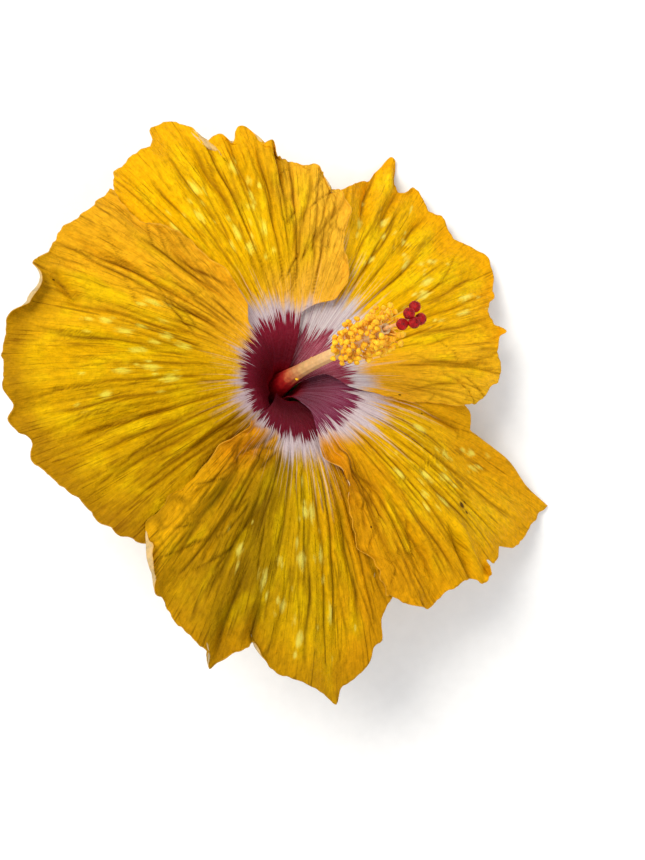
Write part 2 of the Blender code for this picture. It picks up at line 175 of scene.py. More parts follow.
def close(bm):
    """Caps the open ends and turns the faces outwards."""
    bmesh.ops.holes_fill(bm, edges=[e for e in bm.edges if e.is_boundary], sides=0)
    bmesh.ops.recalc_face_normals(bm, faces=bm.faces)


def lathe(profile, sides):
    """A closed turned body from (height, radius) pairs, spun with an operator and capped."""
    bm = bmesh.new()
    line = [bm.verts.new((radius, 0, height)) for height, radius in profile]
    for low, high in zip(line, line[1:]):
        bm.edges.new((low, high))
    bmesh.ops.spin(bm, geom=bm.verts[:] + bm.edges[:], cent=(0, 0, 0), axis=(0, 0, 1),
                   angle=2 * math.pi, steps=sides, use_merge=True)
    close(bm)
    return bm


def plant_tissue(name, stretch, detail, blotches, stops, bump, roughness):
    """Green tissue: fibres drawn out along the bloom's height over soft blotches."""
    made, spot = new_material(name)
    fibre = noise(put("Mapping", {"Vector": spot, "Scale": stretch}), 1, detail)
    tone = calc("ADD", fibre, noise(spot, blotches, 3))
    paint = coloured(calc("MULTIPLY", tone, 0.5), stops)
    surface({"Base Color": paint, "Normal": bumped(fibre, bump, 0.0001), "Roughness": roughness,
             "Subsurface Weight": 0.1, "Subsurface Scale": 0.001})
    return made


# Fresh stalk tissue: pale green with darker ribs, a waxy skin and fine fibres of about 0.2 mm
stalk_skin = plant_tissue("green_stalk_tissue", (2200, 2200, 260), 4, 420,
                          [(0.3, "#4f6a25"), (0.5, "#7f9a3e"), (0.72, "#a9b866")], 0.5, 0.55)

foot = -BLOOM_AT.z
bm = lathe([(foot, STALK_RADIUS - 0.15), (foot, STALK_RADIUS), (foot * 0.6, STALK_RADIUS)] + RECEPTACLE,
           STALK_SIDES)
for vert in bm.verts:
    turn = math.atan2(vert.co.y, vert.co.x)
    if vert.co.z < -1:
        rib = 1 + RIB_DEPTH * math.cos(STALK_RIBS * turn)
        vert.co.x *= rib
        vert.co.y *= rib
    if vert.co.z < foot + 0.01:
        vert.co.z = (foot - vert.co.x * UP[0] - vert.co.y * UP[1]) / UP[2]
finish_piece("flower_stalk", bm, [stalk_skin], ["pedicel"])

# Epicalyx: seven narrow green bracteoles grown from one low ring under the calyx. Each is a
# fleshy blade with a raised midrib that bends up beside the calyx and ends in a point.

BRACT_RING = [(2.05, -3.4), (2.9, -3.5), (2.95, -2.5), (2.05, -2.4)]
BRACT_RING_SIDES = 56
BRACTEOLES = 7
BRACTEOLE_PATH = [(2.5, -3), (5, -2.9), (8, -0.9), (10, 2.6), (11.6, 7), (13.4, 11.5)]
BRACTEOLE_WIDTH = [1, 1.3, 1.35, 1.15, 0.8, 0.12]
BRACTEOLE_THICK = [0.45, 0.45, 0.42, 0.4, 0.36, 0.1]
BRACTEOLE_SIDES = 14
BRACTEOLE_STEPS = 26
MIDRIB = 0.16


def about_axis(radius, turn, height):
    """Points at a radius, a turn in radians and a height on the bloom's axis."""
    return np.stack([radius * np.cos(turn), radius * np.sin(turn), height], -1)


def smooth(value, low, high):
    """0 below low, 1 above high and an even ease between."""
    t = np.clip((value - low) / (high - low), 0, 1)
    return t * t * (3 - 2 * t)


def bell(value, width):
    """1 at 0, falling off evenly on both sides."""
    return np.exp(-(value / width) ** 2)


def curve_through(value, points):
    """A smooth curve through the points that never swings past them, level beyond its ends."""
    xs = np.array([p[0] for p in points], float)
    ys = np.array([p[1] for p in points], float)
    rise = np.diff(ys) / np.diff(xs)
    same_way = rise[:-1] * rise[1:] > 0
    total = np.where(same_way, rise[:-1] + rise[1:], 1)
    inner = np.where(same_way, 2 * rise[:-1] * rise[1:] / total, 0)
    slopes = np.concatenate([rise[:1], inner, rise[-1:]])
    at = np.clip(np.searchsorted(xs, value) - 1, 0, len(xs) - 2)
    width = xs[at + 1] - xs[at]
    t = np.clip((value - xs[at]) / width, 0, 1)
    start = (2 * t**3 - 3 * t**2 + 1) * ys[at] + (t**3 - 2 * t**2 + t) * width * slopes[at]
    end = (3 * t**2 - 2 * t**3) * ys[at + 1] + (t**3 - t**2) * width * slopes[at + 1]
    return start + end


def grid_sheet(columns, rows):
    """An operator's grid with each vertex's share across and along, both from 0 to 1."""
    made = bmesh.new()
    bmesh.ops.create_grid(made, x_segments=columns, y_segments=rows, size=1)
    spots = np.array([v.co[:] for v in made.verts])
    return made, 0.5 * (spots[:, 0] + 1), 0.5 * (spots[:, 1] + 1)


def move_to(made, points):
    """Puts the vertices at the points, merges the seam and turns the faces outwards."""
    for vert, point in zip(made.verts, points):
        vert.co = point
    bmesh.ops.remove_doubles(made, verts=made.verts, dist=0.0005)
    bmesh.ops.recalc_face_normals(made, faces=made.faces)


def tube(points, widths, sides, thicks=None, crest=0):
    """A round or flattened tube along points, closed at its ends, from a rolled-up grid."""
    points = np.array(points, float)
    made, around, share = grid_sheet(sides, len(points) - 1)
    row = np.rint(share * (len(points) - 1)).astype(int)
    way = np.gradient(points, axis=0)
    way /= np.linalg.norm(way, axis=1)[:, None]
    side = np.cross(way, [0, 0, 1])
    weak = np.linalg.norm(side, axis=1) < 0.05
    side[weak] = np.cross(way[weak], [0, 1, 0])
    side /= np.linalg.norm(side, axis=1)[:, None]
    over = np.cross(way, side)
    wide = np.array(widths, float)
    thick = wide if thicks is None else np.array(thicks, float)
    turn = 2 * math.pi * around
    up = np.sin(turn) * (1 + crest * bell(np.cos(turn), 0.22))
    spots = points[row] + side[row] * (wide[row] * np.cos(turn))[:, None]
    spots = spots + over[row] * (thick[row] * up)[:, None]
    move_to(made, spots)
    close(made)
    return made


def take_in(bm, other):
    """Adds another bmesh's faces to bm."""
    mesh = bpy.data.meshes.new("passing")
    other.to_mesh(mesh)
    other.free()
    bm.from_mesh(mesh)
    bpy.data.meshes.remove(mesh)


# Fresh leaf tissue: mid green with a yellower bloom, fine parallel veins about 0.4 mm apart
leaf_skin = plant_tissue("green_leaf_tissue", (1300, 1300, 160), 5, 300,
                         [(0.3, "#3f6320"), (0.5, "#5f8530"), (0.72, "#96ab52")], 0.6, 0.6)

bm, around, share = grid_sheet(BRACT_RING_SIDES, len(BRACT_RING))
corner = np.rint(share * len(BRACT_RING)).astype(int) % len(BRACT_RING)
radius = np.array([r for r, _ in BRACT_RING])[corner]
height = np.array([z for _, z in BRACT_RING])[corner]
turn = 2 * math.pi * around
move_to(bm, about_axis(radius, turn, height))
share = np.linspace(0, 1, BRACTEOLE_STEPS)
knots = np.linspace(0, 1, len(BRACTEOLE_PATH))
reach, rise, wide, thick = [curve_through(share, list(zip(knots, row)))
                            for row in (*zip(*BRACTEOLE_PATH), BRACTEOLE_WIDTH, BRACTEOLE_THICK)]
for number in range(BRACTEOLES):
    turn = 2 * math.pi * (number + 0.3) / BRACTEOLES
    path = np.stack([reach * math.cos(turn), reach * math.sin(turn), rise], -1)
    take_in(bm, tube(path, wide, BRACTEOLE_SIDES, thick, MIDRIB / 0.4))
finish_piece("bracteoles", bm, [leaf_skin], ["epicalyx"])

# Calyx: the green cup under the petals, grown as one piece, with five pointed lobes. It is a
# thin leafy shell with three raised veins to each lobe and a fine down.

THROAT_RADIUS = 4.4
THROAT_HEIGHT = 3
SLOPE_AT = (0, 14, 21, 31, 47, 67, 91)
SLOPE = (89, 84, 56, 20, 3, -10, -22)
DROOP = 4
DROOP_FROM = 30
DROOP_OVER = 40
SUM_STEPS = 60
STALK_LENGTH = 8
FLOOR_CLEAR = 0.6
FLOOR_EASE = 5
CALYX_THICK = 0.6
CALYX_SIDES = 240
CALYX_ROWS = 64
CALYX_FOOT = (4.95, 0.4)
CALYX_CUP = 11
CALYX_LOBE = 14
CALYX_GAP = 1.35
CALYX_GAP_GROWS = 0.055
CALYX_TURN = 3
CALYX_VEIN = 0.16


def funnel(azimuth, along):
    """Radius, height and slope of the petals' shared surface, azimuth in radians."""
    droop = math.radians(DROOP) * np.clip(np.cos(azimuth - TOWARD), 0, 1) ** 1.5

    def slope_at(here):
        ease = np.clip((here - DROOP_FROM) / DROOP_OVER, 0, 1)
        return np.radians(np.interp(here, SLOPE_AT, SLOPE)) - droop * ease

    radius = THROAT_RADIUS
    height = THROAT_HEIGHT
    for part in (np.arange(SUM_STEPS) + 0.5) / SUM_STEPS:
        slope = slope_at(along * part)
        radius = radius + np.cos(slope) * along / SUM_STEPS
        height = height + np.sin(slope) * along / SUM_STEPS
    return radius, height, slope_at(along)


def above_floor(azimuth, along):
    """How high the shared surface would lie if it ran on straight, with no floor to ease it up."""
    radius, height, _ = funnel(azimuth, along)
    return about_axis(radius, azimuth, height) @ UP + STALK_LENGTH * math.cos(TILT) - FLOOR_CLEAR


def on_funnel(azimuth, along, off):
    """Points on the shared surface, moved off it and eased up where they would pass the floor."""
    radius, height, slope = funnel(azimuth, along)
    points = about_axis(radius - off * np.sin(slope), azimuth, height + off * np.cos(slope))
    level = above_floor(azimuth, along)
    raised = 0.5 * (level + np.sqrt(level**2 + FLOOR_EASE**2))
    return points + (raised - level)[..., None] * UP


bm, around, share = grid_sheet(CALYX_SIDES, CALYX_ROWS)
turn = 2 * math.pi * around
place = 2.5 * (turn - math.radians(CALYX_TURN))
length = CALYX_CUP + CALYX_LOBE * np.abs(np.cos(place)) ** 1.2
along = np.clip((share * CALYX_ROWS - 3) / (CALYX_ROWS - 3), 0, 1) * length
veins = bell(np.sin(place), 0.09) + 0.7 * bell(np.cos(place), 0.09)
veins = veins + 0.5 * bell(np.abs(np.sin(place)) - 0.5, 0.07)
off = -(CALYX_GAP + CALYX_GAP_GROWS * along) - CALYX_VEIN * veins * smooth(along, 0, 4)
points = on_funnel(turn, along, off)
foot_share = np.clip(1 - share * CALYX_ROWS / 3, 0, 1)[:, None]
radius, height = CALYX_FOOT
rim = about_axis(radius, turn, np.full(turn.shape, height))
move_to(bm, points * (1 - foot_share) + rim * foot_share)
calyx = finish_piece("calyx_cup", bm, [leaf_skin], ["calyx"])
shell = calyx.modifiers.new("Thickness", "SOLIDIFY")
shell.thickness = CALYX_THICK * MM
shell.offset = 0

# Petals: five thin sheets that overlap one another like a pinwheel. A petal is soft tissue about
# a fifth of a millimetre thick, creased along its veins like crepe, with a satin upper face, a
# paler underside and a feathered crimson eye at its foot, where it grows on the column's base.

PETAL_THICK = 0.18
PETAL_COLUMNS = 236
PETAL_ROWS = 150
EVEN_STEPS = 400
EVEN_REACH = 60
EVEN_WIDTH = 24
LAYER_STEP = 0.8
LAYER_ANGLE = 36
LAYER_FROM = 2
LAYER_FULL = 11
THROAT_FILL = 1
THROAT_SIDE = math.radians(240)
RUFFLE_FROM = 30
RUFFLE_FULL = 88
BROAD_DEPTH = 2
FRILL_DEPTH = 1.7
LIFT = 1.7
LIFT_ZONE = 9
LIFT_WAVE = 15
CALM_BELOW = -2
CALM_ABOVE = 8
CALM_SHARE = 0.3
REST_SPOTS = ((-24, 9), (63, 4.9))
REST_WIDTH = 8
PLEAT_DEPTH = 0.7
PUCKER_DEPTH = 0.07
CRUMPLE_DEPTH = 0.8
FOLD_RELIEF = 1.45
DIP = 1.1
SWELL = 0.5
MARGIN_TEETH = 0.45
MARGIN_WAVE = 0.7
NOISE_CELLS = 97
PAINT_SEED = 5
PAINT_SEED_STEP = 70

# Each petal: the azimuth of its middle, its free margin that lies over the next petal and its
# covered margin, both as (distance from the foot, azimuth), and its rim as (azimuth, distance).
# Folds are (azimuth, distance, slant, half length, half width, height); rim curls are (azimuth,
# half width, length, turn) and margin curls the same with the distance from the foot first.
# Crumple is how strongly oblique creases gather at the free margin, veins is how many long creases
# run out, and flecks are (azimuth, distance).
PETALS = {
    "petal_top": dict(
        middle=104,
        over=[(0, 73), (14, 74), (24, 82), (31, 85), (34, 77), (38, 62), (43, 60), (47, 66),
              (52, 70), (61, 71), (66, 76)],
        under=[(0, 138), (12, 140), (20, 148), (33, 151), (42, 145), (60, 144), (74, 146)],
        rim=[(76, 66), (79, 67), (83, 72), (87, 74), (93, 76), (94.5, 78), (97, 77), (100, 83),
             (101.5, 83), (104, 80), (105, 83), (107, 84), (110, 82), (111, 88), (112.5, 93),
             (115, 94), (118, 94), (120, 89), (121.5, 87), (126, 87), (130, 87), (133, 84),
             (136, 81), (146, 74)],
        folds=[(112.3, 72, 0, 15, 1.1, -0.9), (115, 76, 0, 18, 1.3, 0.7),
               (109.2, 68, 0, 16, 0.9, -1), (102, 70, 0, 12, 1, 1.2), (104.3, 70, 0, 12, 0.8, -1),
               (98.5, 66, 0, 12, 0.8, -1), (93.2, 69, 0, 9, 0.9, -1.3), (95.2, 73, 0, 6, 1, 1.5),
               (86, 58, 8, 12, 0.9, -0.8), (119, 70, 0, 14, 0.8, -0.7), (126, 66, 0, 12, 0.8, -0.6),
               (78, 56, 22, 9, 0.9, -0.9)],
        rim_curls=[(94.5, 2.2, 3, 110), (119, 3, 1.5, 40), (103, 4, 2, 50), (84, 4, 1.5, 50)],
        margin_curls=[(62, 4, 2, 80), (42, 7, 2.5, 60)],
        crumple=1, veins=14,
        flecks=[(118.3, 70.5), (104.1, 63.1), (114.2, 54.8), (103.4, 53.7), (111.8, 49.6),
                (122.5, 62.7), (131.7, 63.6), (106, 72)],
    ),
    "petal_upper_right": dict(
        middle=38,
        over=[(0, 5), (12, 6), (19, 10), (23, 8), (27, -5), (30, -13), (36, -15), (44, -15),
              (51, -12), (61, -10)],
        under=[(0, 68), (12, 72), (20, 86), (30, 96), (42, 92), (55, 88), (68, 88)],
        rim=[(-10, 61), (-6, 65), (-2, 69), (4, 75), (9, 72), (12, 74), (14, 77), (15.5, 74),
             (19, 73), (24, 79), (32, 87), (37, 84), (40, 82), (46, 84), (50, 83), (55.5, 87),
             (58, 82), (60, 84), (61.4, 94), (62.7, 95), (64.2, 91), (66.2, 82.5), (68, 79.5),
             (75, 69), (88, 68)],
        folds=[(62.3, 80, 0, 16, 1.6, 2), (59, 74, 0, 14, 1, -1), (65.6, 76, 0, 12, 1, -0.9),
               (56, 62, 0, 14, 0.9, -0.8), (50, 72, 0, 9, 0.9, -0.7), (30, 66, 0, 13, 0.9, -0.6),
               (18, 62, 0, 12, 0.9, -0.7), (6, 60, 0, 11, 1, -0.9), (-4, 52, -14, 8, 1, -1),
               (71, 60, 0, 10, 0.9, 0.8), (10, 66, 0, 9, 1, 0.8)],
        rim_curls=[(12, 4, 1.6, 90), (24, 5, 1.2, 60), (57, 2.5, 1.6, 70), (62.5, 1.6, 1.6, 50)],
        margin_curls=[(38, 6, 2.4, -60), (52, 6, 2.6, -70)],
        crumple=0.55, veins=10,
        flecks=[(65.6, 63.5), (58.5, 67.9), (50.4, 67.8), (56.2, 54.1), (40.5, 67.9), (32.5, 57.9),
                (21.7, 65.7), (36, 62), (26, 70), (45, 60)],
    ),
    "petal_lower_right": dict(
        middle=-32,
        over=[(0, -65), (14, -65), (24, -67), (31, -75), (39, -79), (44, -76), (52, -75), (61, -76),
              (67, -71), (76, -71)],
        under=[(0, 0), (8, 3), (12, 9), (19, 18), (26, 14), (34, 0), (42, -3), (52, -5), (60, -8),
               (64, -10), (66, -15), (83, -17), (95, -19), (105, -20)],
        rim=[(-71, 76), (-68, 78), (-66, 80), (-62, 83), (-58, 84), (-55, 83), (-51, 83),
             (-46.5, 89), (-44.2, 90), (-42.8, 86.5), (-41, 89), (-37, 89), (-34, 94), (-24, 101),
             (-20, 105)],
        folds=[(-69.5, 44, 20, 4.5, 1.6, 3.2), (-61.8, 47.5, -25, 4.5, 1.4, -2.5),
               (-72, 50, -35, 3.5, 1.2, 2.1), (-66, 60, 0, 12, 0.9, -0.9), (-62, 66, 0, 12, 1, 0.7),
               (-57, 66, 0, 12, 0.9, -0.9), (-52, 70, 0, 11, 0.9, -0.8),
               (-47.6, 80, 14, 8, 1.2, -1.8), (-44.8, 80, 10, 8, 1.4, 1.4),
               (-40, 66, 0, 12, 0.9, -0.7), (-28, 74, 0, 16, 1, -0.6), (-15.5, 58, 0, 7, 1.4, -1.4)],
        rim_curls=[(-44.5, 1.6, 3, 120), (-60, 6, 1.2, 60), (-30, 5, 1.2, 60)],
        margin_curls=[(47, 5, 3.4, 110), (62, 6, 1.4, 50)],
        crumple=0.7, veins=10,
        flecks=[(-23.4, 50.3), (-19.8, 69.9), (-22.8, 72.9), (-38.9, 57.5), (-33.1, 63.8),
                (-41.1, 65.2), (-46.6, 51.9), (-26, 61)],
    ),
    "petal_bottom": dict(
        middle=-100,
        over=[(0, -131), (14, -131), (25, -129), (34, -133), (44, -138), (54, -136), (65, -136),
              (72, -135), (76, -131)],
        under=[(0, -69), (8, -66), (12, -60), (20, -55), (30, -60), (39, -65), (50, -65), (62, -65),
               (70, -68), (75, -68)],
        rim=[(-131, 76), (-127, 81), (-119, 86), (-116, 88), (-108.5, 91), (-107, 94.5),
             (-105.5, 92), (-102, 88.5), (-100.5, 86), (-99, 89), (-94, 93), (-89, 95), (-84.5, 100),
             (-83, 101.5), (-82, 98), (-79, 96), (-78, 94.5), (-76, 91), (-75, 88), (-73, 87),
             (-72.3, 82), (-68, 76)],
        folds=[(-107.5, 80, 0, 12, 1.2, -1.4), (-101, 82, 0, 5, 1.6, -1.5),
               (-97.5, 78, 0, 9, 1.2, 0.9), (-104, 80, 0, 8, 1.2, 1.2), (-112, 64, 8, 12, 1.1, -1.1),
               (-118, 60, 6, 12, 1, -1.2), (-125, 62, 0, 12, 1.2, -1.5), (-129, 56, 0, 14, 1.6, 1.2),
               (-122, 40, 25, 7, 1.2, -1.4), (-90, 72, 0, 18, 1, -0.6), (-84, 66, 0, 18, 1, 0.6),
               (-77, 68, 0, 16, 1, -0.7), (-128, 40, 40, 4, 1.2, 1.5), (-123, 36, 50, 4, 1.1, 1.4),
               (-118, 39, 60, 4, 1, -1.3), (-114, 36, 35, 4, 1, 1.1), (-111, 41, 20, 4, 0.9, -0.9),
               (-121, 44, 70, 3.5, 1, 1.1), (-127, 45, -30, 4, 1, -1.1)],
        rim_curls=[(-128, 4, 2, 130), (-103.5, 2.2, 2.6, 130), (-99, 1.6, 2, 90), (-112, 4, 1, 50)],
        margin_curls=[(42, 5, 3.4, 100), (58, 7, 3, -80), (68, 5, 2.4, -60)],
        crumple=1, veins=15,
        flecks=[(-110.6, 65.3), (-92.3, 64.4), (-86.1, 63.4), (-102, 70.5), (-88.5, 52.6),
                (-91.4, 52.6), (-91.5, 83.7), (-96, 76), (-84, 78)],
    ),
    "petal_left": dict(
        middle=178,
        over=[(0, 143), (12, 142), (22, 138), (33, 139), (38, 131), (43, 129), (50, 131), (58, 133),
              (71, 139), (81, 137)],
        under=[(0, 212), (12, 213), (18, 217), (26, 238), (43, 235), (54, 235), (70, 237)],
        rim=[(137, 81), (144, 81), (152, 85), (156, 85), (160, 86.6), (166, 87.5), (173, 90.1),
             (185, 90), (188.5, 88.5), (191, 91), (197, 86), (199.5, 88), (205, 85), (211, 82),
             (217, 81), (222, 79), (229, 75.5), (237, 70)],
        folds=[(163, 78, 30, 4.5, 1.2, -1.7), (160, 77, 0, 5, 1.4, 1.2), (166, 60, 0, 16, 1, -0.9),
               (152, 62, 0, 16, 1, -1.2), (147, 64, 0, 16, 1.2, 0.8), (142, 56, -8, 12, 1, -1.2),
               (137, 50, -14, 8, 1, -1.2), (174, 64, 0, 14, 1, -0.6), (192, 62, 0, 18, 0.9, -0.7),
               (198, 60, 0, 16, 0.9, -0.7), (204, 58, 0, 14, 1, -0.9), (211, 60, 0, 12, 1, -0.8),
               (156.5, 46, 0, 9, 0.8, -0.8), (150, 43, 0, 7, 0.8, -0.8), (144, 40, -6, 6, 0.8, -0.7),
               (162, 44, 0, 7, 0.8, -0.6), (218, 44, 6, 9, 0.9, -0.9), (226, 48, 4, 10, 0.9, -0.8)],
        rim_curls=[(166.5, 5.5, 5, 168), (157, 2.5, 1.5, 80), (190, 3, 1.2, 70), (202, 4, 1, 60)],
        margin_curls=[(42, 5, 3, 75), (52, 4, 2.4, 70), (66, 7, 1.6, 50)],
        crumple=0.6, veins=17,
        flecks=[(184.1, 61.9), (187.8, 50.4), (159.3, 56.9), (171, 61.5), (169.9, 51), (172.6, 46.6),
                (169.2, 66.6), (183, 55), (177, 58), (190, 66)],
    ),
}


def drift(across, along, seed):
    """Smooth seeded noise from -1 to 1 with one feature to each unit of its coordinates."""
    table = np.random.default_rng(seed).uniform(-1, 1, (NOISE_CELLS, NOISE_CELLS))
    column, row = np.floor(across).astype(int), np.floor(along).astype(int)
    u, v = across - column, along - row
    u = u * u * u * (u * (u * 6 - 15) + 10)
    v = v * v * v * (v * (v * 6 - 15) + 10)
    left, right = column % NOISE_CELLS, (column + 1) % NOISE_CELLS
    near, far = [table[left, at % NOISE_CELLS] * (1 - u) + table[right, at % NOISE_CELLS] * u
                 for at in (row, row + 1)]
    return near * (1 - v) + far * v


def ruffle(azimuth, along):
    """Waves that overlapping petals share, so that they nest, calmer where a petal lies down."""
    reach = smooth(along, RUFFLE_FROM, RUFFLE_FULL)
    broad = 0.6 * np.sin(5 * azimuth + 0.8) + 0.55 * np.sin(9 * azimuth + 2.1 + 0.03 * along)
    frill = 0.65 * np.sin(17 * azimuth + 1.3 + 0.02 * along)
    frill = frill + 0.45 * np.sin(29 * azimuth + 0.4 - 0.05 * along)
    calm = CALM_SHARE + (1 - CALM_SHARE) * smooth(above_floor(azimuth, along), CALM_BELOW, CALM_ABOVE)
    waves = calm * (reach * BROAD_DEPTH * broad + reach**2 * FRILL_DEPTH * frill)
    for spot, depth in REST_SPOTS:
        near = bell(np.degrees(azimuth) - spot, REST_WIDTH)
        waves = waves - depth * near * smooth(along, 45, 80)
    return waves


def crease_lines(veins, crumple, seed):
    """Creases: share of the fan and distance at the start and at the end, depth, half width."""
    chance = random.Random(seed)
    lines = []
    for k in range(veins):
        place = (k + 0.5 + chance.uniform(-0.4, 0.4)) / veins
        start = chance.uniform(30, 42)
        end = chance.uniform(58, 94)
        far = place + chance.uniform(-0.04, 0.04)
        lines.append((place, start, far, end, chance.uniform(0.12, 0.6), chance.uniform(0.4, 0.62)))
        for _ in range(chance.choice((0, 1, 1))):
            at = chance.uniform(42, 62)
            fork = place + (far - place) * (at - start) / (end - start)
            aside = chance.choice((-1, 1)) * chance.uniform(0.02, 0.06)
            lines.append((fork, at, fork + aside, at + chance.uniform(16, 34),
                          chance.uniform(0.12, 0.4), chance.uniform(0.38, 0.52)))
    short = (30, 1, (0.03, 0.97), (34, 72), (-0.03, 0.03), (6, 22), (0.07, 0.2), (0.36, 0.44))
    oblique = (round(11 * crumple), -1, (0.05, 0.32), (38, 68), (0.04, 0.16), (6, 15), (0.15, 0.5),
               (0.36, 0.55))
    for count, way, places, starts, asides, lengths, depths, widths in (short, oblique):
        for _ in range(count):
            place = chance.uniform(*places)
            start = chance.uniform(*starts)
            lines.append((place, start, place + way * chance.uniform(*asides),
                          start + chance.uniform(*lengths), chance.uniform(*depths),
                          chance.uniform(*widths)))
    return lines


def curled(gap, length, turn, weight):
    """Rolls the last stretch before an edge into an arc: its new gap to the edge and its rise."""
    bend = np.maximum(weight * math.radians(abs(turn)) / length, 1e-4)
    angle = bend * np.maximum(length - gap, 0)
    new_gap = np.where(gap < length, length - np.sin(angle) / bend, gap)
    return new_gap, math.copysign(1, turn) * (1 - np.cos(angle)) / bend


def petal_sheet(shape, number):
    """The petal's middle surface as a bmesh, with what its paint reads at each vertex."""
    made, across, share = grid_sheet(PETAL_COLUMNS, PETAL_ROWS)
    (first, first_reach), (last, last_reach) = shape["rim"][0], shape["rim"][-1]
    rim_azimuth = first + (last - first) * across

    def rim_at(turn_deg):
        """The rim's distance from the foot."""
        return curve_through(turn_deg, shape["rim"])

    none = np.zeros_like(share)
    teeth = drift(np.radians(rim_azimuth) * 26, none, 40 + number)
    teeth = teeth + 0.6 * drift(np.radians(rim_azimuth) * 57, none, 50 + number)
    rim = rim_at(rim_azimuth) + MARGIN_TEETH * teeth * smooth(share, 0.8, 1)

    # Inside, the rows follow an evened rim, and only near the edge the true one
    spread = np.linspace(first, last, EVEN_STEPS)
    weight = np.exp(-0.5 * (np.arange(-EVEN_REACH, EVEN_REACH + 1) / EVEN_WIDTH) ** 2)
    even = np.pad(rim_at(spread), EVEN_REACH, "edge")
    even = np.convolve(even, weight / weight.sum(), "valid")

    def reach_to(even_rim, true_rim):
        """The distance from the foot where the rows run to these two rims."""
        return share * even_rim + (true_rim - even_rim) * smooth(share, 0.7, 1)

    along = reach_to(np.interp(rim_azimuth, spread, even), rim)
    over = curve_through(reach_to(even[0], first_reach), shape["over"])
    under = curve_through(reach_to(even[-1], last_reach), shape["under"])
    wave = drift(along / 3.6, none, 60 + number) + 0.6 * drift(along / 1.7, none, 70 + number)
    over = over + MARGIN_WAVE * wave * smooth(along, 30, 42)
    azimuth_deg = over + (under - over) * across
    azimuth = np.radians(azimuth_deg)
    radius, _, _ = funnel(azimuth, along)
    span = np.radians(under - over) * radius
    rim_gap = rim - along
    over_gap = np.radians(azimuth_deg - over) * radius
    under_gap = np.radians(under - azimuth_deg) * radius

    layer = smooth(along, LAYER_FROM, LAYER_FULL)
    off = -LAYER_STEP * layer * (azimuth_deg - shape["middle"]) / LAYER_ANGLE
    hug = THROAT_FILL * (1 + 0.8 * np.clip(np.cos(azimuth - THROAT_SIDE), 0, 1))
    off = off + hug * smooth(along, 3, 8) * (1 - smooth(along, 13, 22))
    off = off + ruffle(azimuth, along)
    near = np.clip(1 - (azimuth_deg - over) / LIFT_ZONE, 0, 1) ** 2
    waves = 0.7 + 0.5 * np.sin(2 * math.pi * along / LIFT_WAVE + 1.7 * number)
    off = off + LIFT * near * waves * smooth(along, 29, 44)
    off = off + PLEAT_DEPTH * drift(azimuth * 16, along / 60, 11) * smooth(along, 28, 60)
    pucker = drift(across * span / 1.3, along / 5, 80 + number)
    pucker = pucker + 0.6 * drift(across * span + 5, along / 1.9, 90 + number)
    off = off + PUCKER_DEPTH * pucker * smooth(along, 34, 46)

    side = np.radians(azimuth_deg - shape["middle"]) * radius
    gather = shape["crumple"] * bell(over_gap, 15) * smooth(along, 32, 46)
    cross = 0.86 * side + 0.5 * along
    length = 0.86 * along - 0.5 * side
    bent = 0.5 * drift(cross / 8, length / 9, 140 + number)
    large = drift(cross / 3.1 + bent, length / 9, 150 + number)
    bent = 0.4 * drift(cross / 5, length / 5, 160 + number)
    small = drift(cross / 1.5 + bent, length / 4.2, 170 + number)
    relief = CRUMPLE_DEPTH * gather * (0.9 * large - 0.75 * bell(large, 0.17))
    relief = relief + CRUMPLE_DEPTH * gather * (0.3 * small - 0.35 * bell(small, 0.2))
    # This mask marks the valleys of the creases and folds, where the paint lays painted shade
    crease_shade_mask = gather * np.maximum(0.65 * bell(large, 0.08), 0.3 * bell(small, 0.1))
    fan = (azimuth_deg - first) / (last - first)
    lines = crease_lines(shape["veins"], shape["crumple"], 300 + number)
    for k, (place, start, far, end, depth, half) in enumerate(lines):
        t = (along - start) / (end - start)
        path = place + (far - place) * t
        path = path + 0.0035 * np.sin(along / 6.3 + 2.1 * k) + 0.0014 * np.sin(along / 2.1 + k)
        u = (fan - path) * np.radians(last - first) * radius / half
        taper = smooth(t, 0, 0.2) * (1 - smooth(t, 0.78, 1))
        ridge = 0.42 * bell(np.abs(u) - 1.7, 0.9)
        relief = relief + depth * taper * (ridge - bell(u, 1))
        crease_shade_mask = np.maximum(crease_shade_mask, min(1, 0.45 + 1.2 * depth) * taper * bell(u, 0.62))

    for fold_azimuth, fold_along, slant, half_length, half_width, height in shape["folds"]:
        side = np.radians(azimuth_deg - fold_azimuth) * radius + 0.35 * np.sin(along / 3.1)
        ahead = along - fold_along
        lean = math.radians(slant)
        cross = side * math.cos(lean) + ahead * math.sin(lean)
        length = ahead * math.cos(lean) - side * math.sin(lean)
        line = np.exp(-(cross / half_width) ** 2 - (length / half_length) ** 4)
        relief = relief + FOLD_RELIEF * height * line * smooth(along, 24, 40)
        if height < 0:
            line = np.exp(-(cross / (0.5 * half_width)) ** 2 - (length / half_length) ** 4)
            crease_shade_mask = np.maximum(crease_shade_mask, line)

    # It dips little where another petal lies under it, rises little where one lies over it and
    # stays even beside a deep notch of the rim
    low = DIP + 3 * smooth(over_gap, 7, 20)
    high = SWELL + 3 * smooth(under_gap, 8, 22)
    relief = np.where(relief < 0, low * np.tanh(relief / low), high * np.tanh(relief / high))
    cliff = np.abs(rim_at(rim_azimuth + 0.5) - rim_at(rim_azimuth - 0.5))
    relief = relief * (1 - 0.85 * smooth(cliff, 1.5, 5) * bell(rim_gap, 9))
    off = off + relief

    new_along = along
    for centre, half_width, length, turn in shape["rim_curls"]:
        weight = np.exp(-((azimuth_deg - centre) / half_width) ** 4)
        new_gap, rise = curled(rim_gap, length, turn, weight)
        new_along = new_along + rim_gap - new_gap
        off = off + rise
    new_azimuth = azimuth
    for centre, half_width, length, turn in shape["margin_curls"]:
        weight = np.exp(-((along - centre) / half_width) ** 4)
        new_gap, rise = curled(over_gap, length, turn, weight)
        new_azimuth = new_azimuth + (new_gap - over_gap) / radius
        off = off + rise

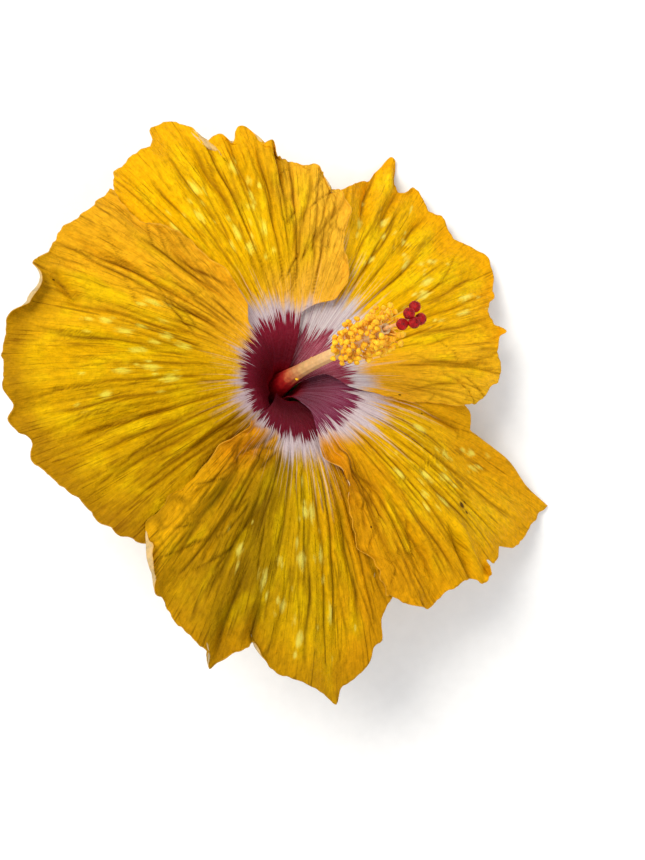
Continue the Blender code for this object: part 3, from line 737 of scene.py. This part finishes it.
    chance = random.Random(500 + number)
    fleck = np.zeros_like(along)
    for fleck_azimuth, fleck_along in shape["flecks"]:
        spots = [(fleck_azimuth, fleck_along, chance.uniform(1.5, 2.8), chance.uniform(0.6, 1))]
        for _ in range(3):
            spots.append((fleck_azimuth + chance.gauss(0, 2.8), fleck_along + chance.gauss(0, 5),
                          chance.uniform(0.8, 1.8), chance.uniform(0.35, 0.7)))
        for strength, (turn, reach, half_length, half_width) in zip((1, 0.8, 0.65, 0.5), spots):
            side = np.radians(azimuth_deg - turn) * radius / half_width
            ahead = (along - reach) / half_length
            fleck = np.maximum(fleck, strength * np.exp(-side * side - ahead * ahead))

    for vert, point in zip(made.verts, on_funnel(new_azimuth, new_along, off)):
        vert.co = point
    made.normal_update()
    if sum(face.normal.dot(Vector(UP)) for face in made.faces) < 0:
        bmesh.ops.reverse_faces(made, faces=made.faces)
    edge = np.minimum(np.minimum(rim_gap, over_gap), under_gap)
    return made, {"turn": azimuth, "reach": along, "across": across, "edge": edge,
                  "crease_shade_mask": crease_shade_mask, "fleck": fleck}


# Petal tissue, upper face and underside. Long cells along the veins give a satin streak about
# 0.3 mm wide; creases get painted shade in dark ochre; pale flecks of 1 by 3 mm follow the veins.
# Eye, halo and the throat's red are painted by the distance from the petal's foot.
# Each row runs over the top, upper right, lower right, bottom and left petal. The bottom petal's
# darker paints are partly its own greener tone and partly painted shade, as it tilts away from the
# light.
PAINTS = {
    "over": ("#ffc436", "#ffc620", "#dc9a08", "#e8aa08", "#fab81c"),
    "middle": ("#ecb404", "#f4ba00", "#e4a804", "#9c7600", "#e6b002"),
    "far": ("#f4be00", "#f8c200", "#f0bc04", "#dcac02", "#d4a200"),
    "under": ("#fdc000", "#f9bc10", "#f6b810", "#e09e06", "#be8c00"),
    "rim": ("#f9b608", "#f7ae08", "#e4a406", "#c08804", "#a87404"),
    "bright": ("#fcd408", "#fed606", "#f8ce08", "#dcb600", "#f0c802"),
    "shade": ("#8f5a02", "#9a6202", "#855202", "#5c3c00", "#744200"),
    "ember": ("#fbbc30", "#fcb41c", "#e3920c", "#e4920c", "#fbb81c"),
    "fleck": ("#fdee50", "#fdf068", "#f8ea5c", "#e4d65a", "#f0e24c"),
    "halo": ("#dccccc", "#e4dad8", "#e0d2d2", "#d6c8c8", "#d2bcbe"),
    "halo_at": (36, 36.5, 37, 38, 33.5),
    "halo_long": (8, 12, 13, 9, 4),
    # The upper right petal's paler, pinker eye paints and strong light streaks are partly its own
    # colour and partly painted sheen
    "eye_inner": ("#680210", "#98183a", "#700a2a", "#560208", "#5a020a"),
    "eye_outer": ("#8c0824", "#b03854", "#86204a", "#760a20", "#7c0822"),
    "eye_tip": ("#880a2a", "#860c30", "#760c36", "#6c0a22", "#7c0c2a"),
    "eye_light": ("#b44a68", "#e4b4c0", "#cf9cb6", "#98405c", "#98304c"),
    "light": (0.3, 0.8, 0.55, 0.4, 0.3),
    "eye_at": (32.5, 31.5, 34, 35, 32),
    "eye_short": (0, 4, 0, 0, 0),
}
BLEMISHES = {"petal_upper_right": [(-12.4, 42.6, 0.35)],
             "petal_lower_right": [(-17, 49.8, 0.3), (-36.6, 71.5, 0.95), (-37.4, 73.6, 0.5),
                                   (-34.6, 72.9, 0.5), (-68.5, 59.1, 0.3)],
             "petal_left": [(161.9, 81.2, 0.3)]}


def petal_tissue(name, paint, seed, blemishes, upper):
    """The material of one face of a petal, its paint placed by the piece's own readings."""
    made, spot = new_material(name)
    halo_at, eye_at = paint["halo_at"], paint["eye_at"]
    turn, reach, across, edge, crease_shade_mask, fleck = [
        put("Attribute", {}, out="Fac", tree=made.node_tree, attribute_name=one)
        for one in ("turn", "reach", "across", "edge", "crease_shade_mask", "fleck")]

    def streaks(per_radian, length, shift, detail=2):
        """Noise drawn out along the veins: so many features to a radian, each so long in mm."""
        side = calc("MULTIPLY", turn, per_radian)
        ahead = calc("MULTIPLY", reach, 1 / length)
        place = put("CombineXYZ", {"X": side, "Y": ahead, "Z": seed + shift})
        return noise(place, 1, detail)

    def cusps(*shape):
        """How far such a noise stands from its middle value, 0 along thin lines."""
        return calc("ABSOLUTE", calc("SUBTRACT", streaks(*shape), 0.5))

    # Ground: from the free margin through the middle to the covered side, warmer at the rim
    wander = streaks(5, 16, 0)
    place = calc("ADD", across, scaled(wander, 0.3, -0.15))
    ground = coloured(place, [(0.06, paint["over"]), (0.4, paint["middle"]),
                              (0.68, paint["far"]), (0.92, paint["under"])])
    near = calc("ADD", edge, scaled(wander, -14, 7))
    fade = product(eased(near, 12, 1, 0, 0.75), eased(across, 0.1, 0.35, 0.2))
    ground = mixed(fade, ground, paint["rim"])

    # Clearer yellow clouds 8 to 15 mm long between the margins
    cloud = eased(streaks(9, 13, 21, 3), 0.46, 0.66, 0, 0.7)
    cloud = product(cloud, eased(reach, 40, 50), eased(edge, 2, 13))
    ground = mixed(cloud, ground, paint["bright"])

    # A warm orange patch where the free margin leaves the halo
    margin = eased(scaled(wander, 0.3, across), 0.52, 0.25)
    patch = product(eased(reach, 58, 42, 0, 0.75), margin)
    ground = mixed(patch, ground, paint["ember"])

    # Satin grain of 0.3 mm cells, mottling of 1 by 2 mm and streaks between the veins, then painted
    # shade in the creases and along thin hairlines
    satin = streaks(230, 2.4, 7.7, 3)
    fibre = streaks(50, 20, 12.1, 4)
    mottle = streaks(62, 2, 71, 5)
    gleam = product(ranged(satin, 0.3, 0.7, 0.86, 1.12), ranged(fibre, 0.3, 0.7, 0.93, 1.06),
                    ranged(mottle, 0.32, 0.68, 0.86, 1.1))
    ground = mixed(1, ground, gleam, "MULTIPLY")
    painted_crease_shade = product(crease_shade_mask, ranged(fibre, 0.35, 0.6, 0.95, 0.55))
    hairline = eased(cusps(30, 70, 14, 1), 0.035, 0.004)
    where = ranged(streaks(22, 9, 15), 0.44, 0.64, 0, 0.6)
    hairline = product(hairline, where, ranged(reach, 34, 46))
    painted_crease_shade = calc("MAXIMUM", painted_crease_shade, hairline)
    ground = mixed(painted_crease_shade, ground, paint["shade"])

    # Pale flecks along the veins, their edges broken by the grain
    ragged = scaled(streaks(90, 3, 17, 3), 1.5, fleck)
    blot = product(eased(ragged, 0.9, 1.75, 0, 0.85), ranged(fleck, 0.02, 0.25))
    ground = mixed(blot, ground, paint["fleck"])
    if not upper:
        pale = ranged(edge, 4.5, 1.5, 0.35, 0.5)
        ground = mixed(pale, ground, "#f0e2b8")

    # Pale pink veins that run out of the halo, then the soft streaky halo round the eye, which is
    # narrow beside the free margin and reaches farthest beside the covered one
    broad = streaks(12, 500, 57, 1)
    lobe = streaks(4, 500, 81, 1)
    long_side = eased(across, 0.12, 0.75, -4, paint["halo_long"] - 4)
    inner = calc("ADD", scaled(lobe, -9, 4.5), reach)
    vein = eased(cusps(22, 160, 31, 1), 0.028, 0.005)
    length = scaled(broad, -30, inner)
    length = calc("SUBTRACT", length, long_side)
    far = ranged(length, halo_at - 18, halo_at - 6, 0.8, 0)
    ground = mixed(product(vein, far), ground, "#eccdb4")
    ray = streaks(30, 60, 41, 4)
    shifted = scaled(ray, -14, inner)
    shifted = calc("SUBTRACT", shifted, product(long_side, ray))
    halo = eased(shifted, halo_at - 5, halo_at - 10.5)
    ashen = ranged(streaks(60, 18, 47, 4), 0.34, 0.6)
    ring = mixed(ashen, "#c0a6ad", paint["halo"])
    ground = mixed(halo, ground, ring)

    # Crimson eye with feathered teeth about 1 mm apart, streaked inside; the brighter red in the throat
    # is partly its own colour and partly painted light that lifts the deep throat's shade
    tooth = cusps(34, 500, 51, 2)
    shifted = scaled(tooth, 27, reach)
    shifted = scaled(broad, 9, shifted)
    shifted = calc("ADD", shifted, ranged(across, 0.5, 0.95, 0, paint["eye_short"]))
    eye = eased(shifted, eye_at + 4.6, eye_at + 3.6)
    tip = eased(shifted, eye_at - 1.5, eye_at + 3.5, 0, 0.8)
    inward = ranged(reach, eye_at - 1, eye_at - 12)
    crimson = mixed(inward, paint["eye_outer"], paint["eye_inner"])
    grain = ranged(streaks(75, 26, 61, 3), 0.46, 0.68, 0, paint["light"])
    thread = ranged(cusps(30, 300, 91, 1), 0.02, 0.004, 0, 0.7 * paint["light"])
    grain = calc("MAXIMUM", grain, thread)
    crimson = mixed(grain, crimson, paint["eye_light"])
    crimson = mixed(tip, crimson, paint["eye_tip"])
    throat_red_and_light = eased(reach, 19, 12, 0, 0.9)
    crimson = mixed(throat_red_and_light, crimson, "#b80c20")
    ground = mixed(eye, ground, crimson)

    # A paler line along every free edge beyond the halo, and the few brown specks of a garden bloom
    line = eased(edge, 0.34, 0.08, 0, 0.32)
    line = product(line, ranged(reach, halo_at, halo_at + 6))
    ground = mixed(line, ground, "#f6bc48")
    for azimuth_deg, along, size in blemishes:
        side = product(calc("SUBTRACT", turn, math.radians(azimuth_deg)), along)
        ahead = calc("SUBTRACT", reach, along)
        apart = put("CombineXYZ", {"X": side, "Y": ahead})
        apart = put("VectorMath", {0: apart}, out="Value", operation="LENGTH")
        speck = eased(apart, size * 1.4, size * 0.6, 0, 0.9)
        ground = mixed(speck, ground, "#3a1408")

    # Relief: a fine crinkle under the satin cells, the fibres and the mottling, hairlines sunk in
    crinkle = put("TexNoise", {"Vector": spot, "Scale": 900, "Detail": 4, "Distortion": 0.6})
    crinkled = bumped(crinkle, 0.9, 0.0005)
    height = scaled(satin, 0.3, fibre)
    height = scaled(mottle, 0.9, height)
    height = scaled(hairline, -0.7, height)
    bump = put("Bump", {"Height": height, "Strength": 0.8, "Distance": 0.0003, "Normal": crinkled})
    dull = ranged(satin, 0.3, 0.7, 0.62, 0.48)
    rough = calc("SUBTRACT", dull, ranged(reach, 33, 26, 0, 0.2))
    wet = ranged(reach, 34, 27, 0.06, 0.25)
    tissue = put("BsdfPrincipled", {"Base Color": ground, "Roughness": rough, "Normal": bump,
                                    "IOR": 1.4, "Specular IOR Level": wet})
    glow = put("BsdfTranslucent", {"Color": ground, "Normal": bump})
    both = put("MixShader", {0: 0.2, 1: tissue, 2: glow})
    put("OutputMaterial", {"Surface": both})
    return made


def give_reading(piece, name, values):
    """Stores a value at each vertex, for the paint to read."""
    layer = piece.data.attributes.new(name, "FLOAT", "POINT")
    layer.data.foreach_set("value", values.astype(np.float32))


for number, (node, shape) in enumerate(PETALS.items()):
    bm, readings = petal_sheet(shape, number)
    paint = {key: row[number] for key, row in PAINTS.items()}
    seed = PAINT_SEED + PAINT_SEED_STEP * number
    faces = [petal_tissue(f"{node}_upper_face", paint, seed, BLEMISHES.get(node, []), True),
             petal_tissue(f"{node}_underside", paint, seed, [], False)]
    piece = finish_piece(node + "_sheet", bm, faces, [node])
    for name, values in readings.items():
        give_reading(piece, name, values)
    sheet = piece.modifiers.new("Thickness", "SOLIDIFY")
    sheet.thickness = PETAL_THICK * MM
    sheet.offset = 0
    sheet.use_even_offset = False
    sheet.material_offset = 1
    sheet.material_offset_rim = 0

# Staminal column: one fleshy tube grown round the style, deep red at its foot and peach above,
# whose upper third carries 168 short filaments. Each filament ends in a kidney-shaped
# golden anther that has split along its back and is powdered with pollen.

COLUMN_LEAN = (0.25, 0.035)
COLUMN_BEND_AT = 18
COLUMN_BEND_OVER = 10
COLUMN_FOOT = 1.9
COLUMN_SWAY_X = [(1.9, 0), (50, 0), (60, -0.2), (75, -0.75)]
COLUMN_SWAY_Y = [(1.9, 0), (13, 1.3), (21, 1.5), (30, 1.4), (42, 0.95), (58, 0.5),
                 (64, 0), (70, -0.7), (76, -1.1)]
COLUMN_TOP = 62.5
COLUMN_SIDES = 48
COLUMN_ROWS = 120
COLUMN_OUTSIDE = [(1.9, 3.6), (5, 3.5), (8, 3.2), (12, 2.9), (16, 2.6), (20, 2.15),
                  (24, 1.8), (28, 1.65), (34, 1.55), (42, 1.48), (52, 1.38), (62.5, 1.25)]
COLUMN_BORE = [(1.9, 3), (5, 2.9), (8, 2.55), (12, 1.9), (16, 1.3), (20, 1), (32, 0.85),
               (50, 0.75), (62.5, 0.72)]
COLUMN_RIBS = 0.04
STAMENS = 168
STAMEN_FROM = 43.5
STAMEN_TO = 61.6
STAMEN_REACH = 4.3
STAMEN_ROOT = 1
STAMEN_SEED = 7
STAMEN_TURN = 137.5
FILAMENT_SIDES = 7
FILAMENT_STEPS = 8
FILAMENT_RADIUS = 0.17
ANTHER_HALF = (0.86, 0.7, 0.62)
ANTHER_BEND = 0.22
ANTHER_SLIT = 0.14
STRAY_ANTHERS = [(30.5, 250, 0.8), (24, 80, 0.55), (26, 190, 0.5)]


def column_at(height):
    """The leaning centre line: its points, its direction and two directions across it."""
    height = np.asarray(height, float)

    def centre_line(level):
        past = level - COLUMN_BEND_AT
        start = COLUMN_FOOT - COLUMN_BEND_AT
        sway = 0.5 * (past + np.sqrt(past**2 + COLUMN_BEND_OVER**2))
        sway = sway - 0.5 * (start + math.hypot(start, COLUMN_BEND_OVER))
        x = COLUMN_LEAN[0] * sway + curve_through(level, COLUMN_SWAY_X)
        y = COLUMN_LEAN[1] * sway + curve_through(level, COLUMN_SWAY_Y)
        return np.stack([x, y, level], -1)

    way = centre_line(height + 0.1) - centre_line(height - 0.1)
    way /= np.linalg.norm(way, axis=-1)[..., None]
    first = np.cross(way, [0, 1, 0])
    first /= np.linalg.norm(first, axis=-1)[..., None]
    return centre_line(height), way, first, np.cross(way, first)


def round_column(height, radius, turn):
    """Points round the leaning centre line."""
    centre, _, first, second = column_at(height)
    return centre + first * (radius * np.cos(turn))[:, None] + second * (radius * np.sin(turn))[:, None]


def facing(way):
    """The turn that points z along the way."""
    return Vector(way).to_track_quat("Z", "Y").to_matrix().to_4x4()


def paint_index(made, index):
    """Gives every face of a bmesh one material slot."""
    for face in made.faces:
        face.material_index = index
    return made


def anther(half, seed):
    """A kidney-shaped pollen sac about its own middle, its slit upwards."""
    made = bmesh.new()
    bmesh.ops.create_icosphere(made, subdivisions=2, radius=1)
    for vert in made.verts:
        x, y, z = vert.co
        groove = ANTHER_SLIT * math.exp(-(y / 0.3) ** 2) * max(z, 0)
        swell = 1 + 0.07 * math.sin(5 * x + seed) * math.cos(4 * y + 2 * seed)
        vert.co = (half[0] * x * swell, half[1] * y * swell + ANTHER_BEND * x * x,
                   half[2] * (z - groove) * swell)
    return made


# Column flesh: a smooth, slightly wet skin with faint lengthwise ribs, coloured by its height
flesh, spot = new_material("column_flesh")
rise = put("Attribute", {}, out="Fac", tree=flesh.node_tree, attribute_name="rise")
mottle = noise(spot, 700, 4)
place = calc("SUBTRACT", scaled(mottle, 0.1, rise), 0.05)
paint = coloured(place, [(0.15, "#a00818"), (0.26, "#be0c1c"), (0.32, "#c62c26"), (0.37, "#d8784c"),
                         (0.45, "#e8b678"), (0.8, "#f2d09a"), (1, "#f2cf98")])
paint = mixed(1, paint, ranged(mottle, 0.3, 0.7, 0.88, 1.1), "MULTIPLY")
surface({"Base Color": paint, "Normal": bumped(mottle, 0.35, 0.0002), "Roughness": 0.42,
         "IOR": 1.42, "Subsurface Weight": 0.15, "Subsurface Scale": 0.001})


def moist_tissue(name, mottles, stops, roughness, depth):
    """Slightly see-through tissue in soft mottles."""
    made, spot = new_material(name)
    paint = coloured(noise(spot, mottles, 3), stops)
    surface({"Base Color": paint, "Roughness": roughness, "Subsurface Weight": 0.2,
             "Subsurface Scale": depth})
    return made


def grainy_tissue(name, grains, shade_between_grains, blotches, stops, bump, rest):
    """Tissue covered in round grains, with painted shade darkening the gaps between them."""
    made, spot = new_material(name)
    grain = put("TexVoronoi", {"Vector": spot, "Scale": grains})
    tone = scaled(grain, shade_between_grains, noise(spot, blotches, 3))
    raised = bumped(calc("SUBTRACT", 1, grain), bump, 0.0001)
    surface({"Base Color": coloured(tone, stops), "Normal": raised, **rest})
    return made


# Filaments: thin moist threads, orange at the column and yellow where they meet the anther
thread = moist_tissue("filament_tissue", 500, [(0.3, "#e8a428"), (0.5, "#f2ba40"), (0.7, "#f6cf70")],
                      0.45, 0.0006)
# Anther with pollen: golden, dry and matt, with grains about 0.2 mm across that catch the light,
# and painted shade between them
pollen = grainy_tissue("pollen_covered_anther", 4200, -0.45, 650,
                       [(0.02, "#dc8c00"), (0.2, "#f6b000"), (0.36, "#ffc608"), (0.54, "#ffdc38")], 0.9,
                       {"Roughness": 0.7, "Subsurface Weight": 0.12, "Subsurface Scale": 0.0005})

bm, around, share = grid_sheet(COLUMN_SIDES, COLUMN_ROWS)
row = np.rint(share * COLUMN_ROWS).astype(int) % COLUMN_ROWS
outer = 2 * COLUMN_ROWS // 3
going_up = row <= outer
height = np.where(going_up, row / outer, (COLUMN_ROWS - row) / (COLUMN_ROWS - outer))
height = COLUMN_FOOT + (COLUMN_TOP - COLUMN_FOOT) * height
turn = 2 * math.pi * around
ribs = 1 + COLUMN_RIBS * np.cos(10 * turn + 0.08 * height) * smooth(height, 6, 20)
radius = np.where(going_up, curve_through(height, COLUMN_OUTSIDE) * ribs,
                  curve_through(height, COLUMN_BORE))
move_to(bm, round_column(height, radius, turn))
chance = random.Random(STAMEN_SEED)
for number in range(STAMENS):
    share = (number + 0.5) / STAMENS
    height = min(STAMEN_FROM + (STAMEN_TO - STAMEN_FROM) * share + chance.uniform(-0.8, 0.8), STAMEN_TO)
    turn = math.radians(STAMEN_TURN * number + chance.uniform(-14, 14))
    centre, way, first, second = column_at(height)
    out = first * math.cos(turn) + second * math.sin(turn)
    rise = 0.45 + 0.7 * share + chance.uniform(-0.2, 0.2)
    reach = STAMEN_REACH * (0.6 + 1.1 * share - 1.15 * share**3) * chance.uniform(0.38, 1.1)
    steps = np.linspace(0, 1, FILAMENT_STEPS)[:, None]
    path = centre + out * (STAMEN_ROOT + reach * steps) + way * reach * rise * steps**1.7
    take_in(bm, paint_index(tube(path, [FILAMENT_RADIUS] * FILAMENT_STEPS, FILAMENT_SIDES), 1))
    sac = anther(ANTHER_HALF, chance.uniform(0, 6))
    tip = path[-1] - path[-2]
    spin = Matrix.Rotation(chance.uniform(0, 2 * math.pi), 4, "Z")
    nod = Matrix.Rotation(chance.uniform(-0.6, 0.6), 4, "X")
    size = Matrix.Scale(chance.uniform(0.82, 1.08), 4)
    seat = Vector(path[-1] + 0.75 * ANTHER_HALF[2] * tip / np.linalg.norm(tip))
    turned = facing(tip) @ spin @ nod @ size
    bmesh.ops.transform(sac, matrix=Matrix.Translation(seat) @ turned, verts=sac.verts)
    take_in(bm, paint_index(sac, 2))
for height, turn_deg, size in STRAY_ANTHERS:
    centre, way, first, second = column_at(height)
    turn = math.radians(turn_deg)
    out = first * math.cos(turn) + second * math.sin(turn)
    wall = float(curve_through(np.array([height]), COLUMN_OUTSIDE)[0])
    sac = anther(ANTHER_HALF, turn_deg)
    seat = Vector(centre + out * (wall + 0.4 * size * ANTHER_HALF[2]))
    turned = facing(out) @ Matrix.Scale(size, 4)
    bmesh.ops.transform(sac, matrix=Matrix.Translation(seat) @ turned, verts=sac.verts)
    take_in(bm, paint_index(sac, 2))
rises = np.array([v.co.z for v in bm.verts]) / COLUMN_TOP
column = finish_piece("column_with_stamens", bm, [flesh, thread, pollen], ["staminal_column"])
give_reading(column, "rise", rises)

# Pistil: the style runs up inside the column from the ovary and parts at its top into five
# branches, each with a round stigma pad covered in short dark red papillae like velvet.

PISTIL_SIDES = 28
PISTIL_ROWS = 80
PISTIL_PROFILE = [(1.9, 1.9), (3.4, 2.6), (5.5, 2.4), (8.5, 1.6), (12, 0.9), (16, 0.55),
                  (24, 0.45), (40, 0.42), (56, 0.4), (70, 0.4)]
STIGMA_RADIUS = 1.36
BRANCH_RADIUS = 0.34
BRANCH_SIDES = 12
BRANCH_STEPS = 10
STIGMA_ROOT = 0.8
STIGMA_BEND = 0.45
STIGMA_RISE = 0.5
STIGMAS = [(1.2, 2.5, 3.4), (-0.95, 0.25, 4.7), (-2.15, -1.95, 3.2), (0.4, -1.7, 4.2), (2.7, -0.2, 2.9)]
PAPILLAE = 420
PAPILLA_LENGTH = 0.16
PAPILLA_RADIUS = 0.045
PAPILLA_SEED = 11

# Style flesh: moist and slightly see-through, peach with a pinker, redder top
style_flesh = moist_tissue("style_flesh", 600, [(0.3, "#dc9858"), (0.5, "#e8b272"), (0.7, "#f0c896")],
                           0.4, 0.0008)
# Stigma velvet: papillae about 0.1 mm thick, moist at their tips, so deep red with small highlights,
# and painted shade in the gaps between them
velvet = grainy_tissue("stigma_velvet", 4500, -0.5, 900,
                       [(0, "#500102"), (0.2, "#9e0104"), (0.4, "#be0206"), (0.6, "#d2080a")], 1,
                       {"Roughness": 0.5, "Specular IOR Level": 0.3})

low, high = PISTIL_PROFILE[0][0], PISTIL_PROFILE[-1][0]
bm, around, share = grid_sheet(PISTIL_SIDES, PISTIL_ROWS)
height = low + (high - low) * share
move_to(bm, round_column(height, curve_through(height, PISTIL_PROFILE), 2 * math.pi * around))
close(bm)
centre, way, _, _ = column_at(high)
chance = random.Random(PAPILLA_SEED)
for number, spot in enumerate(STIGMAS):
    spot = np.array(spot)
    steps = np.linspace(0, 1, BRANCH_STEPS)[:, None]
    start = centre - way * STIGMA_ROOT
    middle = centre + spot * STIGMA_BEND + way * STIGMA_RISE
    path = (1 - steps) ** 2 * start + 2 * steps * (1 - steps) * middle + steps**2 * (centre + spot)
    take_in(bm, tube(path, [BRANCH_RADIUS] * BRANCH_STEPS, BRANCH_SIDES))
    pad = bmesh.new()
    bmesh.ops.create_icosphere(pad, subdivisions=5, radius=1)
    out = spot / np.linalg.norm(spot)
    for vert in pad.verts:
        point = np.array(vert.co)
        lumps = 0.05 * math.sin(4.1 * point[0] + number) * math.sin(3.7 * point[1] + 2 * number)
        lumps += 0.03 * math.sin(9 * point[2] + 3 * point[0] + number)
        flat = 1 - 0.12 * max(float(point @ out), 0) ** 2
        vert.co = point * STIGMA_RADIUS * (flat + lumps)
    for k in range(PAPILLAE):
        tall = 1 - 2 * (k + 0.5) / PAPILLAE
        turn = 2.39996 * k + chance.uniform(-0.15, 0.15)
        wide = math.sqrt(1 - tall * tall)
        ray = Vector((wide * math.cos(turn), wide * math.sin(turn), tall))
        hair = bmesh.new()
        bmesh.ops.create_cone(hair, cap_ends=True, segments=5, radius1=PAPILLA_RADIUS,
                              radius2=0.6 * PAPILLA_RADIUS,
                              depth=PAPILLA_LENGTH * chance.uniform(0.7, 1.3))
        seat = Matrix.Translation(ray * STIGMA_RADIUS * 0.97) @ facing(ray)
        bmesh.ops.transform(hair, matrix=seat, verts=hair.verts)
        take_in(pad, hair)
    bmesh.ops.translate(pad, vec=Vector(centre + spot), verts=pad.verts)
    take_in(bm, paint_index(pad, 1))
finish_piece("style_and_stigmas", bm, [style_flesh, velvet], ["pistil"])

# Stage: a plain pale floor, a soft daylight from the upper left, and the camera straight above

CAMERA_AT = (7.102, -7.028, 413.5)
LENS = 62.6
SENSOR = 36
FLOOR_HALF = 3

bm = bmesh.new()
bmesh.ops.create_grid(bm, x_segments=4, y_segments=4, size=FLOOR_HALF)
mesh = bpy.data.meshes.new("floor")
bm.to_mesh(mesh)
bm.free()
floor = into_scene("floor", mesh)
# Matt white board with a barely visible grain
board, spot = new_material("matt_white_board")
paint = coloured(noise(spot, 300, 2), [(0.3, "#f6f6f5"), (0.7, "#f9f9f8")])
surface({"Base Color": paint, "Roughness": 0.9, "Specular IOR Level": 0.1})
mesh.materials.append(board)


def soft_light(name, at, size, power, colour):
    """A square area light that looks at the bloom."""
    data = bpy.data.lights.new(name, "AREA")
    data.size = size
    data.energy = power
    data.color = linear(colour)[:3]
    made = into_scene(name, data)
    made.location = at
    made.rotation_euler = (-Vector(at)).to_track_quat("-Z", "Y").to_euler()


soft_light("key_light", (-0.5, 0.5, 1.1), 0.6, 12.5, "#fffaf0")
soft_light("fill_light", (0.5, -0.7, 1), 0.9, 4, "#f6f9ff")
sky = bpy.data.worlds.new("studio_sky")
sky.use_nodes = True
glow = sky.node_tree.nodes["Background"].inputs
glow["Color"].default_value = linear("#fbfcff")
glow["Strength"].default_value = 0.66
bpy.context.scene.world = sky
bpy.context.scene.view_settings.view_transform = "Standard"

data = bpy.data.cameras.new("camera")
data.lens = LENS
data.sensor_width = SENSOR
camera = into_scene("camera", data)
camera.location = Vector(CAMERA_AT) * MM
bpy.context.scene.camera = camera
